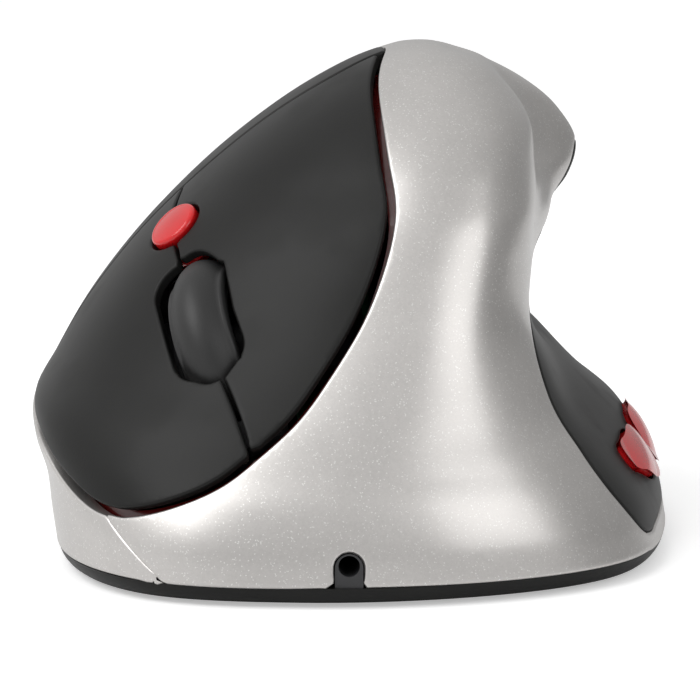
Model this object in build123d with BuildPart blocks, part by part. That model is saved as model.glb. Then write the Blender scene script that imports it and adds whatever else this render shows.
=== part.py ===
"""Vertical ergonomic mouse for the right hand, in millimetres.

The mouse stands on the table at z = 0 with its nose towards -Y.  The two keys,
the wheel and the palm rest lie on the slope that faces -X, and the thumb rest
with its two side buttons faces +X.  The origin is the middle of the footprint.
"""
import os
from math import cos, pi, radians, sin, sqrt

from build123d import *

os.makedirs("parts", exist_ok=True)

# Overall size of the body
body_width = 84.8
body_length = 103.2
body_height = 65.0

# Walls, measured straight in from the outside
shell_wall = 2.4
key_wall = 1.4
lining_wall = 1.2
overrun = 3.0
reach = 60.0

# Gaps between visible pieces
key_gap = 1.0
seam_gap = 0.5
groove_gap = 0.5
fixed_gap = 0.15
frame_gap = 0.4
button_gap = 0.4
pin_clearance = 0.05
plunger_clearance = 0.09
travel_gap = 0.35

# Stations of the body from the base seam up to the crest.  Each list has one
# share per station: heights of body_height, x of body_width, y of body_length.
station_height_shares = [0.040, 0.108, 0.177, 0.238, 0.300, 0.377, 0.477, 0.585, 0.634,
                         0.685, 0.728, 0.769, 0.846, 0.915, 0.971, 0.988, 0.997]
left_x_shares = [-0.455, -0.463, -0.473, -0.493, -0.498, -0.467, -0.422, -0.361, -0.329,
                 -0.292, -0.259, -0.225, -0.153, -0.075, 0.008, 0.046, 0.071]
left_y_shares = [-0.111, -0.111, -0.102, -0.092, -0.082, -0.063, -0.044, -0.024, -0.015,
                 -0.005, 0.006, 0.015, 0.024, 0.034, 0.034, 0.034, 0.034]
front_x_shares = [-0.079, -0.073, -0.061, -0.044, -0.020, 0.021, 0.068, 0.104, 0.114,
                  0.121, 0.125, 0.127, 0.127, 0.121, 0.116, 0.107, 0.104]
front_y_shares = [-0.499, -0.493, -0.478, -0.456, -0.433, -0.402, -0.365, -0.330, -0.314,
                  -0.296, -0.278, -0.259, -0.212, -0.152, -0.081, -0.040, -0.003]
back_x_shares = [-0.032, -0.038, -0.044, -0.050, -0.055, -0.055, -0.044, -0.020, -0.007,
                 0.009, 0.026, 0.045, 0.080, 0.104, 0.110, 0.105, 0.103]
back_y_shares = [0.480, 0.489, 0.496, 0.499, 0.496, 0.485, 0.460, 0.422, 0.401,
                 0.377, 0.354, 0.328, 0.270, 0.199, 0.133, 0.100, 0.066]
nose_x_shares = [0.473, 0.453, 0.417, 0.376, 0.333, 0.298, 0.265, 0.271, 0.275,
                 0.279, 0.278, 0.275, 0.269, 0.237, 0.185, 0.147, 0.125]
nose_y_shares = [-0.170, -0.170, -0.179, -0.189, -0.189, -0.189, -0.179, -0.121, -0.111,
                 -0.092, -0.082, -0.073, -0.053, -0.034, -0.015, 0.005, 0.018]
hollow_x_shares = [0.488, 0.481, 0.454, 0.420, 0.370, 0.308, 0.252, 0.278, 0.302,
                   0.310, 0.294, 0.279, 0.262, 0.235, 0.195, 0.156, 0.130]
hollow_y_shares = [0.005, 0.005, 0.015, 0.015, 0.015, 0.015, 0.024, -0.024, 0.029,
                   0.044, 0.029, 0.034, 0.034, 0.029, 0.030, 0.032, 0.032]
fin_x_shares = [0.474, 0.465, 0.449, 0.422, 0.364, 0.307, 0.235, 0.239, 0.270,
                0.328, 0.350, 0.358, 0.328, 0.267, 0.185, 0.147, 0.125]
fin_y_shares = [0.160, 0.160, 0.170, 0.170, 0.179, 0.179, 0.199, 0.160, 0.170,
                0.121, 0.137, 0.155, 0.155, 0.111, 0.073, 0.059, 0.046]
crest_shares = (0.101, 0.032, 1.0)
# How square each corner of a station is: 2 is an ellipse, more is squarer
key_corner_fullness = [2.6, 2.6, 2.5, 2.4, 2.3, 2.2, 2.1, 2.1, 2.1, 2.05, 2, 2, 2, 2, 2, 2, 2]
other_corner_fullness = [2.15] * 10 + [2.1, 2.1, 2, 2, 2, 2, 2]
# Level strips of the surface from one station to the next
strips_per_station = 3
# A wall goes sideways on the flanks and downwards near the crest
sideways_shares = [1] * 13 + [0.8, 0.15, 0, 0]
downward_shares = [0, 0, 0, 0, 0, 0.05, 0.1, 0.2, 0.25, 0.3, 0.35, 0.4, 0.6, 0.8, 1, 1, 1]
corner_angles = (30, 60)

# Plane of the two keys and the palm rest, facing up and to the left
slope_place_shares = (-0.2205, -0.2471, 0.523)
slope_facing = (-0.55, -0.45, 0.70)
slope_run = (0, -0.84, -0.54)
slope_length = 84.0
slope_height = 64.0
slope_depth = 36.0
slope_rise = 30.0
opening_side_limit = 8.5
# The opening in the silver shell, from the low front corner round by the nose
opening_shares = [(0.024, -0.458), (0.107, -0.420), (0.167, -0.389), (0.232, -0.344),
                  (0.286, -0.297), (0.327, -0.241), (0.348, -0.180), (0.355, -0.109),
                  (0.339, -0.009), (0.307, 0.061), (0.267, 0.130), (0.207, 0.203),
                  (0.157, 0.259), (0.101, 0.319), (0.036, 0.375), (-0.036, 0.414),
                  (-0.107, 0.421), (-0.188, 0.420), (-0.257, 0.414), (-0.321, 0.408),
                  (-0.386, 0.405), (-0.436, 0.398), (-0.486, 0.375), (-0.535, 0.320),
                  (-0.588, 0.195), (-0.630, 0.036), (-0.641, -0.125), (-0.620, -0.281),
                  (-0.575, -0.406), (-0.505, -0.500), (-0.420, -0.556), (-0.330, -0.570),
                  (-0.232, -0.547), (-0.124, -0.509), (-0.040, -0.481)]
# The groove between the keys and the palm rest, from the crest down
groove_shares = [(-0.460, 0.500), (-0.432, 0.398), (-0.402, 0.317), (-0.373, 0.211),
                 (-0.340, 0.078), (-0.300, -0.070), (-0.244, -0.242), (-0.169, -0.414),
                 (-0.090, -0.590)]
# The seam between the upper and the lower key, from the groove to the nose
seam_shares = [(-0.360, -0.080), (-0.300, -0.068), (-0.238, -0.066), (-0.108, -0.042),
               (-0.051, -0.028), (0.054, -0.003), (0.162, 0.025), (0.210, 0.038),
               (0.255, 0.047), (0.300, 0.052), (0.360, 0.056)]

# Deck: the plane of the wheel, the switches and their board
deck_place_shares = (-0.1835, -0.2428, 0.4089)
deck_run = (0.1278, -0.7171, -0.6851)
deck_facing = (-0.425, -0.6638, 0.6154)

# Wheel and the slot that it shows through
wheel_radius = 12.2
wheel_width = 7.6
wheel_crown = 2.4
hub_radius = 9.2
hub_width = 6.8
hub_rim = 1.6
hub_web = 2.4
hub_boss_radius = 3.0
hub_boss_width = 7.8
axle_radius = 1.5
axle_encoder_end = 10.4
axle_free_end = 7.6
slot_length = 19.4
slot_width = 9.4
slot_corner = 4.0
slot_tilt = 9.0
slot_run = -1.1
slot_side = -0.6

# Yoke that carries the wheel and tips for the middle click
yoke_thickness = 1.8
yoke_side_gap = 1.05
yoke_length = 35.0
yoke_height = 7.0
yoke_shares = [(-0.45, -0.30), (-0.45, -0.02), (-0.34, 0.06), (-0.14, 0.40), (0.08, 0.42),
               (0.35, 0.47), (0.483, 0.47), (0.483, 0.20), (0.35, 0.20), (0.14, -0.42),
               (-0.18, -0.42)]
yoke_bar_near = 12.6
yoke_bar_far = 16.9
yoke_bar_low = 1.3
yoke_bar_high = 3.3
yoke_plate_low = -15.5
yoke_plate_high = -12.9
yoke_plate_thickness = 1.2
pivot_run = -13.6
pivot_rise = -0.8
pivot_radius = 1.1
pivot_length = 3.2
pivot_lug_half = 2.0
pivot_lug_thickness = 2.8

# Encoder on the yoke
encoder_length = 10.5
encoder_height = 8.6
encoder_thickness = 5.4
encoder_bore = 1.55

# Switch board
board_thickness = 1.2
board_depth = 6.4
board_outline_shares = [(-0.98, -0.26), (-0.98, 0.12), (-0.80, 0.48), (-0.48, 0.68),
                        (0.48, 0.68), (0.82, 0.36), (0.82, -0.34), (0.48, -0.84),
                        (-0.32, -0.84), (-0.56, -0.48)]
board_reach = 25.0
board_slot_length = 23.2
board_slot_width = 10.0

# Snap switches under the keys and the wheel yoke
switch_length = 12.8
switch_width = 5.8
switch_height = 6.5
plunger_length = 2.6
plunger_width = 1.4
plunger_rise = 0.8
plunger_depth = 1.0
plunger_shift = 1.9
left_switch_run = 3.0
left_switch_side = 13.0
right_switch_run = 3.0
right_switch_side = -16.2
middle_switch_run = 15.2
middle_switch_side = -0.4
actuator_radius = 1.5

# Shared hinge rod of the two keys
rod_radius = 1.0
knuckle_radius = 2.3
lug_thickness = 2.6
knuckle_length = 8.0
rod_high_run = -32.0
rod_high_side = 17.0
rod_high_rise = -1.0
rod_low_run = -18.6
rod_low_side = -17.0
rod_low_rise = -4.4
knuckle_share = 0.25
low_knuckle_share = 0.83
rib_front = 0.2
rib_knee = 3.5
lug_back_near = 2.0
lug_back_far = 8.5
lug_rise = 9.5
lining_shift = 1.6
lining_width = 4.2
lining_lip = 2.4

# Resolution button between the keys
dpi_run = -18.9
dpi_side = -3.0
dpi_rise = 6.2
dpi_length = 7.0
dpi_width = 6.8
dpi_turn = 26.0
dpi_facing = (-0.63, -0.34, 0.70)
dpi_proud = 1.0
dpi_dome_radius = 16.0
dpi_depth = 4.6
dpi_flange = 0.5
dpi_gap = 0.45
dpi_stem_radius = 1.5
guide_radius = 2.6
guide_low = -1.4
guide_high = 0.4
guide_width = 2.6
tact_size = 6.0
tact_height = 3.5
tact_stem_radius = 1.7
tact_stem_rise = 0.9
tact_stem_depth = 1.2
button_travel = 0.5

# Thumb side: the dark panel and its two buttons, seen along +X
thumb_length = 80.0
thumb_height = 50.0
thumb_near = 8.0
thumb_far = 50.0
thumb_shares = [(-0.371, 0.110), (-0.352, 0.094), (-0.278, 0.090), (-0.175, 0.092),
                (0.000, 0.096), (0.175, 0.100), (0.325, 0.110), (0.438, 0.150),
                (0.500, 0.260), (0.519, 0.400), (0.500, 0.560), (0.450, 0.720),
                (0.381, 0.860), (0.312, 0.950), (0.250, 1.000), (0.200, 1.012),
                (0.156, 0.946), (0.112, 0.890), (0.019, 0.820), (-0.069, 0.790),
                (-0.106, 0.760), (-0.144, 0.720), (-0.206, 0.670), (-0.269, 0.610),
                (-0.319, 0.556), (-0.348, 0.504), (-0.364, 0.458), (-0.381, 0.380),
                (-0.401, 0.308), (-0.410, 0.238), (-0.399, 0.172)]
side_place_x = 37.3
side_place_y = -3.0
side_place_z = 11.0
side_facing = (0.82, -0.06, 0.57)
side_run = (0.06, 0.998, 0.0188)
side_button_length = 15.0
side_button_height = 8.0
side_button_proud = 1.3
side_button_depth = 2.2
forward_shares = [(-1.02, 0.34), (-0.75, 0.42), (-0.42, 0.42), (-0.16, 0.34), (-0.06, 0.14),
                  (-0.05, -0.12), (-0.12, -0.36), (-0.30, -0.44), (-0.58, -0.30),
                  (-0.84, -0.04), (-1.02, 0.18)]
side_board_depth = 7.8
side_board_length = 28.0
side_board_height = 8.0
side_board_shift = 0.8
side_switch_run = 8.0
side_stem_radius = 1.4
side_flange = 0.6
bracket_thickness = 2.0
bracket_rib_run = 12.0

# The parting line of the silver shell
crease_place_shares = (-0.330, -0.437, 0.105)
crease_facing = (0.536, -0.252, 0.811)

# Base plate, its feet and screws
base_bottom = 0.6
base_lip = 0.12
base_tuck = 1.5
base_rib_height = 1.6
base_rib_wall = 1.2
base_rib_gap = 0.7
foot_thickness = 1.0
foot_length = 30.0
foot_width = 8.0
foot_place_y = 37.0
screw_radius = 1.0
screw_head_radius = 2.2
screw_head_height = 1.0
screw_cover = 0.5
screw_slot = 0.4
screw_length = 7.0
boss_radius = 3.6
front_boss_x = 12.0
front_boss_y = -33.0
rear_boss_x = 10.0
rear_boss_y = 33.0
low_boss_x = -29.0
low_boss_y = 18.0
back_boss_x = -12.0
back_boss_y = 41.0
low_boss_web = 8.0
low_boss_top = 9.0
web_thickness = 2.0
post_radius = 3.2
rear_post = (-19.5, 7.0)
upper_post = (9.0, 14.0)
middle_post = (-8.0, -17.0)
low_post = (10.5, -16.0)
board_screw_radius = 0.9
board_screw_head_radius = 1.8
board_screw_head_height = 1.0
board_screw_length = 3.2

# Cord inlet at the nose
notch_x = -0.8
notch_width = 3.7
notch_top = 6.9
gland_length = 7.0
gland_flange = 1.4
gland_flange_width = 7.0
gland_recess = 0.5
gland_flange_gap = 0.9
cord_bore = 1.3
cord_height = 5.3

# Main board and what stands on it
main_board_length = 32.0
main_board_width = 40.0
main_board_x = 1.3
main_board_y = 12.6
main_board_height = 4.8
standoff_radius = 2.2
sensor_x = 1.0
sensor_y = 4.0
sensor_length = 12.0
sensor_width = 9.8
sensor_height = 2.8
lens_length = 19.0
lens_width = 10.0
lens_thickness = 1.4
lens_dome_radius = 2.0
window_length = 10.0
window_width = 7.0
lamp_radius = 1.5
lamp_length = 5.0
chip_length = 10.0
chip_width = 6.0
chip_height = 1.6
chip_x = 12.0
chip_y = 19.0
socket_length = 9.0
socket_width = 4.6
socket_height = 4.0
ribbon_width = 7.0
ribbon_thickness = 0.6
ribbon_steps = 6
deck_socket_run = -19.0
deck_socket_side = -3.0
low_socket_x = -11.5
low_socket_y = 8.0


def station_points(index, depth):
    """Points round one station, set in from the outside by the given depth."""
    inset = sideways_shares[index] * depth
    key_fullness = key_corner_fullness[index]
    fullness = other_corner_fullness[index]
    left = (left_x_shares[index] * body_width + inset, left_y_shares[index] * body_length)
    front = (front_x_shares[index] * body_width, front_y_shares[index] * body_length + inset)
    back = (back_x_shares[index] * body_width, back_y_shares[index] * body_length - inset)
    nose = (nose_x_shares[index] * body_width - inset, nose_y_shares[index] * body_length)
    hollow = (hollow_x_shares[index] * body_width - inset, hollow_y_shares[index] * body_length)
    fin = (fin_x_shares[index] * body_width - inset, fin_y_shares[index] * body_length)

    def corner(end, side, power):
        """Two points of a rounded corner between an end point and a side point."""
        turns = [radians(angle) for angle in corner_angles]
        return [(end[0] + (side[0] - end[0]) * sin(turn) ** (2 / power),
                 side[1] + (end[1] - side[1]) * cos(turn) ** (2 / power)) for turn in turns]

    points = [front] + corner(front, nose, fullness) + [nose, hollow, fin]
    points += corner(back, fin, fullness)[::-1] + [back] + corner(back, left, fullness)
    points += [left] + corner(front, left, key_fullness)[::-1]
    return points


def level_face(points, height):
    """A smooth closed curve through level points, as a face."""
    with BuildSketch(Plane.XY.offset(height)) as slice_sketch:
        with BuildLine():
            Spline(*points, periodic=True)
        make_face()
    return slice_sketch.sketch.face()


def station_rings(depth):
    """The points of each station in space, and the crest as the last ring."""
    rings = []
    for index, height_share in enumerate(station_height_shares):
        height = height_share * body_height - downward_shares[index] * depth
        rings.append([Vector(x, y, height) for x, y in station_points(index, depth)])
    crest = Vector(crest_shares[0] * body_width, crest_shares[1] * body_length,
                   crest_shares[2] * body_height - depth)
    return rings + [[crest] * len(rings[0])]


def ring_distance(near, far):
    """The mean distance between the points of two rings."""
    return sum((b - a).length for a, b in zip(near, far)) / len(near)


outer_rings = station_rings(0)
ring_spans = [ring_distance(near, far) for near, far in zip(outer_rings, outer_rings[1:])]


def ring_slopes(rings):
    """How each point of each ring moves upwards, for each millimetre of the way."""
    steps = [[(b - a) * (1 / span) for a, b in zip(near, far)]
             for near, far, span in zip(rings, rings[1:], ring_spans)]
    slopes = [steps[0]]
    for before, after, near_span, far_span in zip(steps, steps[1:], ring_spans, ring_spans[1:]):
        weight = near_span / (near_span + far_span)
        slopes.append([a * (1 - weight) + b * weight for a, b in zip(before, after)])
    return slopes + [[Vector(step.X, step.Y, 0) for step in steps[-1]]]


def between(start, leaving, end, arriving, span, share):
    """A point on the cubic curve from one point to another with given slopes."""
    blend = share * share * (3 - 2 * share)
    lead = share * (1 - share) * (1 - share) * span
    trail = share * share * (1 - share) * span
    return start * (1 - blend) + end * blend + leaving * lead - arriving * trail


def body_form(depth):
    """The whole body as a solid of level strips, its surface set in by the given depth."""
    rings = station_rings(depth)
    slopes = ring_slopes(rings)
    faces = []
    for index, span in enumerate(ring_spans):
        for step in range(strips_per_station):
            points = [between(*ends, span, step / strips_per_station)
                      for ends in zip(rings[index], slopes[index], rings[index + 1],
                                      slopes[index + 1])]
            faces.append(level_face([(point.X, point.Y) for point in points], points[0].Z))
    crest = rings[-1][0]
    with BuildPart() as form:
        loft(faces + [Vertex(crest.X, crest.Y, crest.Z)], ruled=True)
    return form.part


def shrunk(points, distance):
    """A closed outline moved inwards by a distance, point by point."""
    moved = []
    area = sum(a[0] * b[1] - b[0] * a[1] for a, b in zip(points, points[1:] + points[:1]))
    turn = 1 if area > 0 else -1
    for index, (x, y) in enumerate(points):
        before = points[index - 1]
        after = points[(index + 1) % len(points)]
        run = (after[0] - before[0], after[1] - before[1])
        length = sqrt(run[0] ** 2 + run[1] ** 2)
        moved.append((x - turn * run[1] / length * distance, y + turn * run[0] / length * distance))
    return moved


def column(plane, points, low, high, smooth=True):
    """A straight column with the given outline, between two heights over a plane."""
    with BuildPart() as block:
        with BuildSketch(plane.offset(low)):
            with BuildLine():
                if smooth:
                    Spline(*points, periodic=True)
                else:
                    Polyline(*points, close=True)
            make_face()
        extrude(amount=high - low)
    return block.part


def scaled(shares, length, height):
    """Outline points from their shares."""
    return [(run * length, side * height) for run, side in shares]


def shape_place(shares):
    """A point of the body from its shares."""
    return (shares[0] * body_width, shares[1] * body_length, shares[2] * body_height)


slope_plane = Plane(shape_place(slope_place_shares), x_dir=slope_run, z_dir=slope_facing)
deck = Plane(shape_place(deck_place_shares), x_dir=deck_run, z_dir=deck_facing)
thumb_plane = Plane((0, 0, 0), x_dir=(0, 1, 0), z_dir=(1, 0, 0))
side_plane = Plane((side_place_x, side_place_y, side_place_z), x_dir=side_run, z_dir=side_facing)
base_top = station_height_shares[0] * body_height


def deck_point(run, side, rise):
    """A point given along, across and above the deck."""
    return deck.from_local_coords((run, side, rise))


def deck_plane(run, side, rise):
    """The deck's plane moved to a point of the deck."""
    return Plane(deck_point(run, side, rise), x_dir=deck.x_dir, z_dir=deck.z_dir)


# Forms shared by the visible pieces
outer_form = body_form(0)
inner_form = body_form(shell_wall)
key_form = body_form(key_wall)
key_middle_form = body_form(key_wall / 2)
frame_form = body_form(shell_wall + frame_gap)
lining_form = body_form(shell_wall + frame_gap + lining_wall)
opening_points = scaled(opening_shares, slope_length, slope_height)
thumb_points = scaled(thumb_shares, thumb_length, thumb_height)


def opening_block(distance):
    """The column of the slope's opening, its outline moved inwards by a distance."""
    with BuildPart() as block:
        add(column(slope_plane, shrunk(opening_points, distance), -slope_depth, slope_rise))
        with BuildSketch(Plane.YZ.offset(opening_side_limit)):
            Rectangle(2 * body_length, 3 * body_height)
        extrude(amount=body_width, mode=Mode.SUBTRACT)
    return block.part


def thumb_block(distance):
    """The column of the thumb panel's opening, seen along +X."""
    return column(thumb_plane, shrunk(thumb_points, distance), thumb_near, thumb_far)


def rear_zone(shift):
    """Everything behind the groove of the keys, the groove moved forward by a shift."""
    groove = [(run * slope_length + shift, side * slope_height) for run, side in groove_shares]
    far = slope_length + reach
    with BuildPart() as zone:
        with BuildSketch(slope_plane.offset(-slope_depth)):
            with BuildLine():
                Spline(*groove)
                Polyline(groove[-1], (groove[-1][0], -far), (-far, -far), (-far, far),
                         (groove[0][0], far), groove[0])
            make_face()
        extrude(amount=slope_depth + slope_rise)
    return zone.part


def upper_zone(shift):
    """Everything above the seam of the keys, the seam moved up by a shift."""
    seam = [(run * slope_length, side * slope_height + shift) for run, side in seam_shares]
    far = slope_length
    with BuildPart() as zone:
        with BuildSketch(slope_plane.offset(-slope_depth)):
            with BuildLine():
                Spline(*seam)
                Polyline(seam[-1], (seam[-1][0], far), (-far, far), (-far, seam[0][1]), seam[0])
            make_face()
        extrude(amount=slope_depth + slope_rise)
    return zone.part


def rounded_block(plane, length, width, low, high, corner):
    """A block with rounded upright edges between two heights over a plane."""
    with BuildPart() as block:
        with BuildSketch(plane.offset(low)):
            RectangleRounded(length, width, corner)
        extrude(amount=high - low)
    return block.part


def pin(plane, radius, low, high):
    """A round bar along a plane's normal, between two heights over it."""
    with BuildPart() as bar:
        with BuildSketch(plane.offset(low)):
            Circle(radius)
        extrude(amount=high - low)
    return bar.part


def floor_plane(x, y):
    """A level plane whose origin stands over a point of the table."""
    return Plane((x, y, 0), x_dir=(1, 0, 0), z_dir=(0, 0, 1))


# Silver shell: one open skin, parted along the crease low on the key side
crease_plane = Plane(shape_place(crease_place_shares), z_dir=crease_facing)
notch_middle = notch_top - notch_width / 2
nose_front = front_y_shares[0] * body_length
notch_plane = Plane((notch_x, nose_front, notch_middle), x_dir=(1, 0, 0), z_dir=(0, 1, 0))


def notch_column(clearance, near, far):
    """The arch of the cord inlet, from its front at near to its back at far."""
    half = notch_width / 2 + clearance
    with BuildPart() as arch:
        with BuildSketch(notch_plane.offset(near)):
            Circle(half)
            with Locations((0, (notch_middle - base_top) / 2)):
                Rectangle(2 * half, notch_middle - base_top)
        extrude(amount=far - near)
    return arch.part


with BuildPart() as silver_skin:
    add(outer_form)
    add(inner_form, mode=Mode.SUBTRACT)
    add(opening_block(0), mode=Mode.SUBTRACT)
    add(thumb_block(0), mode=Mode.SUBTRACT)
    add(notch_column(0, -overrun, shell_wall + overrun), mode=Mode.SUBTRACT)


def boss(x, y, top, web_x, web_y):
    """A screw boss under the shell with a web to the wall, cut to the inside."""
    with BuildPart() as post:
        add(pin(floor_plane(x, y), boss_radius, base_top, top))
        if web_x or web_y:
            long_x = abs(web_x) + web_thickness
            long_y = abs(web_y) + web_thickness
            web_plane = floor_plane(x + web_x / 2, y + web_y / 2)
            add(rounded_block(web_plane, long_x, long_y, base_top, top, web_thickness / 4))
        add(inner_form, mode=Mode.INTERSECT)
        add(pin(floor_plane(x, y), screw_radius, 0, base_bottom + screw_length), mode=Mode.SUBTRACT)
    return post.part


tall_bosses = [(front_boss_x, front_boss_y), (rear_boss_x, rear_boss_y)]

with BuildPart() as front_shell:
    add(silver_skin.part)
    split(bisect_by=crease_plane, keep=Keep.TOP)
    for boss_x, boss_y in tall_bosses:
        add(boss(boss_x, boss_y, body_height, 0, 0))
front_shell.part.label = "front_shell"
export_step(front_shell.part, "parts/front_shell.step")

with BuildPart() as rear_shell:
    add(silver_skin.part)
    split(bisect_by=crease_plane, keep=Keep.BOTTOM)
    add(boss(low_boss_x, low_boss_y, low_boss_top, -low_boss_web, 0))
    add(boss(back_boss_x, back_boss_y, low_boss_top, 0, low_boss_web))
rear_shell.part.label = "rear_shell"
export_step(rear_shell.part, "parts/rear_shell.step")

# Palm rest: the dark rear of the slope
with BuildPart() as palm_rest:
    add(outer_form)
    add(opening_block(fixed_gap), mode=Mode.INTERSECT)
    add(rear_zone(0), mode=Mode.INTERSECT)
    add(inner_form, mode=Mode.SUBTRACT)
palm_rest.part.label = "palm_rest"
export_step(palm_rest.part, "parts/palm_rest.step")

# Planes of the wheel and of the hinge rod
wheel_plane = deck_plane(slot_run, 0, 0)
wheel_section = Plane(wheel_plane.origin, x_dir=deck.y_dir, z_dir=deck.x_dir)
wheel_axis = Axis(wheel_plane.origin, deck.y_dir)
wheel_across = Plane(wheel_plane.origin, x_dir=deck.x_dir, z_dir=-deck.y_dir)
rod_high_end = deck_point(rod_high_run, rod_high_side, rod_high_rise)
rod_low_end = deck_point(rod_low_run, rod_low_side, rod_low_rise)
rod_span = rod_low_end - rod_high_end
rod_plane = Plane(rod_high_end, x_dir=deck.x_dir, z_dir=rod_span)
board_top = -board_depth
board_bottom = -board_depth - board_thickness
switch_top = board_top + switch_height
tact_top = board_top + tact_height
plunger_top = switch_top + plunger_rise


def rod_profile(start, length, points, bore):
    """A plate across the hinge rod with an eye for it, and the given outline beside it."""
    with BuildPart() as plate:
        with BuildSketch(rod_plane.offset(start)):
            Circle(knuckle_radius)
            with BuildLine():
                Polyline(*points, close=True)
            make_face()
            Circle(bore, mode=Mode.SUBTRACT)
        extrude(amount=length)
    return plate.part


# Hinge rod that both keys turn on
with BuildPart() as hinge_rod:
    add(pin(rod_plane, rod_radius, -lug_thickness / 2, rod_span.length + lug_thickness / 2))
hinge_rod.part.label = "hinge_rod"
export_step(hinge_rod.part, "parts/hinge_rod.step")

# Frame under the slope: a lip round the opening, a strip under the groove, three lugs
# for the rod and the guide of the resolution button
lug_points = [(0, -knuckle_radius), (knuckle_radius, 0), (-lug_back_near, lug_rise),
              (-lug_back_far, lug_rise), (-lug_back_far, -knuckle_radius)]
dpi_plane = deck_plane(dpi_run, dpi_side, 0)


def low_boss_room():
    """The room round the two low screw bosses and their webs, kept clear by the frames."""
    room_top = low_boss_top + frame_gap
    web_long = low_boss_web + web_thickness + 2 * frame_gap
    web_wide = web_thickness + 2 * frame_gap
    with BuildPart() as room:
        for x, y in [(low_boss_x, low_boss_y), (back_boss_x, back_boss_y)]:
            add(pin(floor_plane(x, y), boss_radius + frame_gap, 0, room_top))
        low_web_plane = floor_plane(low_boss_x - low_boss_web / 2, low_boss_y)
        add(rounded_block(low_web_plane, web_long, web_wide, 0, room_top, web_thickness / 4))
        back_web_plane = floor_plane(back_boss_x, back_boss_y + low_boss_web / 2)
        add(rounded_block(back_web_plane, web_wide, web_long, 0, room_top, web_thickness / 4))
    return room.part


with BuildPart() as button_frame:
    add(frame_form)
    add(opening_block(-lining_lip), mode=Mode.INTERSECT)
    add(lining_form, mode=Mode.SUBTRACT)
    for boss_x, boss_y in tall_bosses:
        add(pin(floor_plane(boss_x, boss_y), boss_radius + frame_gap, 0, reach + overrun),
            mode=Mode.SUBTRACT)
    add(low_boss_room(), mode=Mode.SUBTRACT)
    with BuildPart(mode=Mode.PRIVATE) as frame_windows:
        add(opening_block(lining_lip))
        add(rear_zone(lining_shift), mode=Mode.SUBTRACT)
        add(opening_block(lining_lip) & rear_zone(lining_shift - lining_width))
    add(frame_windows.part, mode=Mode.SUBTRACT)
    for place in (-lug_thickness / 2, rod_span.length / 2 - lug_thickness / 2,
                  rod_span.length - lug_thickness / 2):
        lug = rod_profile(place, lug_thickness, lug_points, rod_radius)
        add(lug & frame_form)
    arm_run = deck_point((rod_high_run + rod_low_run) / 2 + knuckle_radius,
                         (rod_high_side + rod_low_side) / 2, 0) - dpi_plane.origin
    arm_plane = Plane(dpi_plane.origin + arm_run * 0.5, x_dir=arm_run, z_dir=deck.z_dir)
    add(rounded_block(arm_plane, arm_run.length, guide_width, guide_low, guide_high,
                      guide_width / 8))
    add(pin(dpi_plane, guide_radius, guide_low, guide_high))
    add(pin(dpi_plane, dpi_stem_radius + pin_clearance, guide_low, guide_high),
        mode=Mode.SUBTRACT)
button_frame.part.label = "button_frame"
export_step(button_frame.part, "parts/button_frame.step")


def wheel_body(clearance):
    """The crowned wheel as one solid, grown all round by a clearance."""
    half_width = wheel_width / 2 + clearance
    shoulder = wheel_radius - wheel_crown + clearance
    with BuildPart() as crowned:
        with BuildSketch(wheel_section):
            with BuildLine():
                Polyline((-half_width, shoulder), (-half_width, 0), (half_width, 0),
                         (half_width, shoulder))
                ThreePointArc((-half_width, shoulder), (0, wheel_radius + clearance),
                              (half_width, shoulder))
            make_face()
        revolve(axis=wheel_axis)
    return crowned.part


def dpi_column(extra, low, high):
    """The oval column of the resolution button, widened all round by the extra."""
    with BuildPart() as oval:
        with BuildSketch(dpi_plane.offset(low)):
            Ellipse(dpi_width / 2 + extra, dpi_length / 2 + extra, rotation=dpi_turn)
        extrude(amount=high - low)
    return oval.part


def knuckle(share, half_key):
    """Eye and rib of one key on the hinge rod, cut to the key's own half."""
    start = rod_span.length * share - knuckle_length / 2
    points = [(-knuckle_radius, 0), (knuckle_radius, 0), (rib_front, rib_knee),
              (rib_front, lug_rise), (-knuckle_radius, lug_rise)]
    eye = rod_profile(start, knuckle_length, points, rod_radius + pin_clearance)
    return eye & key_middle_form & half_key


# The two keys: one skin parted along the seam
with BuildPart() as key_skin:
    add(outer_form)
    add(key_form, mode=Mode.SUBTRACT)
    add(opening_block(key_gap), mode=Mode.INTERSECT)
    add(rear_zone(groove_gap), mode=Mode.SUBTRACT)
    slot_plane = deck_plane(slot_run, slot_side, 0).rotated((0, 0, slot_tilt))
    add(rounded_block(slot_plane, slot_length, slot_width, 0, wheel_radius + overrun,
                      slot_corner), mode=Mode.SUBTRACT)
    add(wheel_body(travel_gap), mode=Mode.SUBTRACT)
    add(dpi_column(dpi_gap, -overrun, dpi_rise + reach / 2), mode=Mode.SUBTRACT)

upper_half = upper_zone(seam_gap / 2)
lower_half = outer_form - upper_zone(-seam_gap / 2)


def actuator(run, side):
    """The post under a key that presses a switch."""
    post_plane = deck_plane(run, side, 0)
    return pin(post_plane, actuator_radius, plunger_top + travel_gap, reach) & key_middle_form


with BuildPart() as left_button:
    add(key_skin.part)
    add(upper_half, mode=Mode.INTERSECT)
    add(knuckle(knuckle_share, upper_half))
    add(actuator(left_switch_run, left_switch_side))
left_button.part.label = "left_button"
export_step(left_button.part, "parts/left_button.step")

with BuildPart() as right_button:
    add(key_skin.part)
    add(lower_half, mode=Mode.INTERSECT)
    add(knuckle(low_knuckle_share, lower_half))
    add(actuator(right_switch_run, right_switch_side))
right_button.part.label = "right_button"
export_step(right_button.part, "parts/right_button.step")

# Resolution button: an oval dome on a stem, in a hole that both keys share
dome_middle = (deck_point(dpi_run, dpi_side, dpi_rise)
               + Vector(*dpi_facing).normalized() * (dpi_proud - dpi_dome_radius))
tact_stem_top = tact_top + tact_stem_rise

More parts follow.
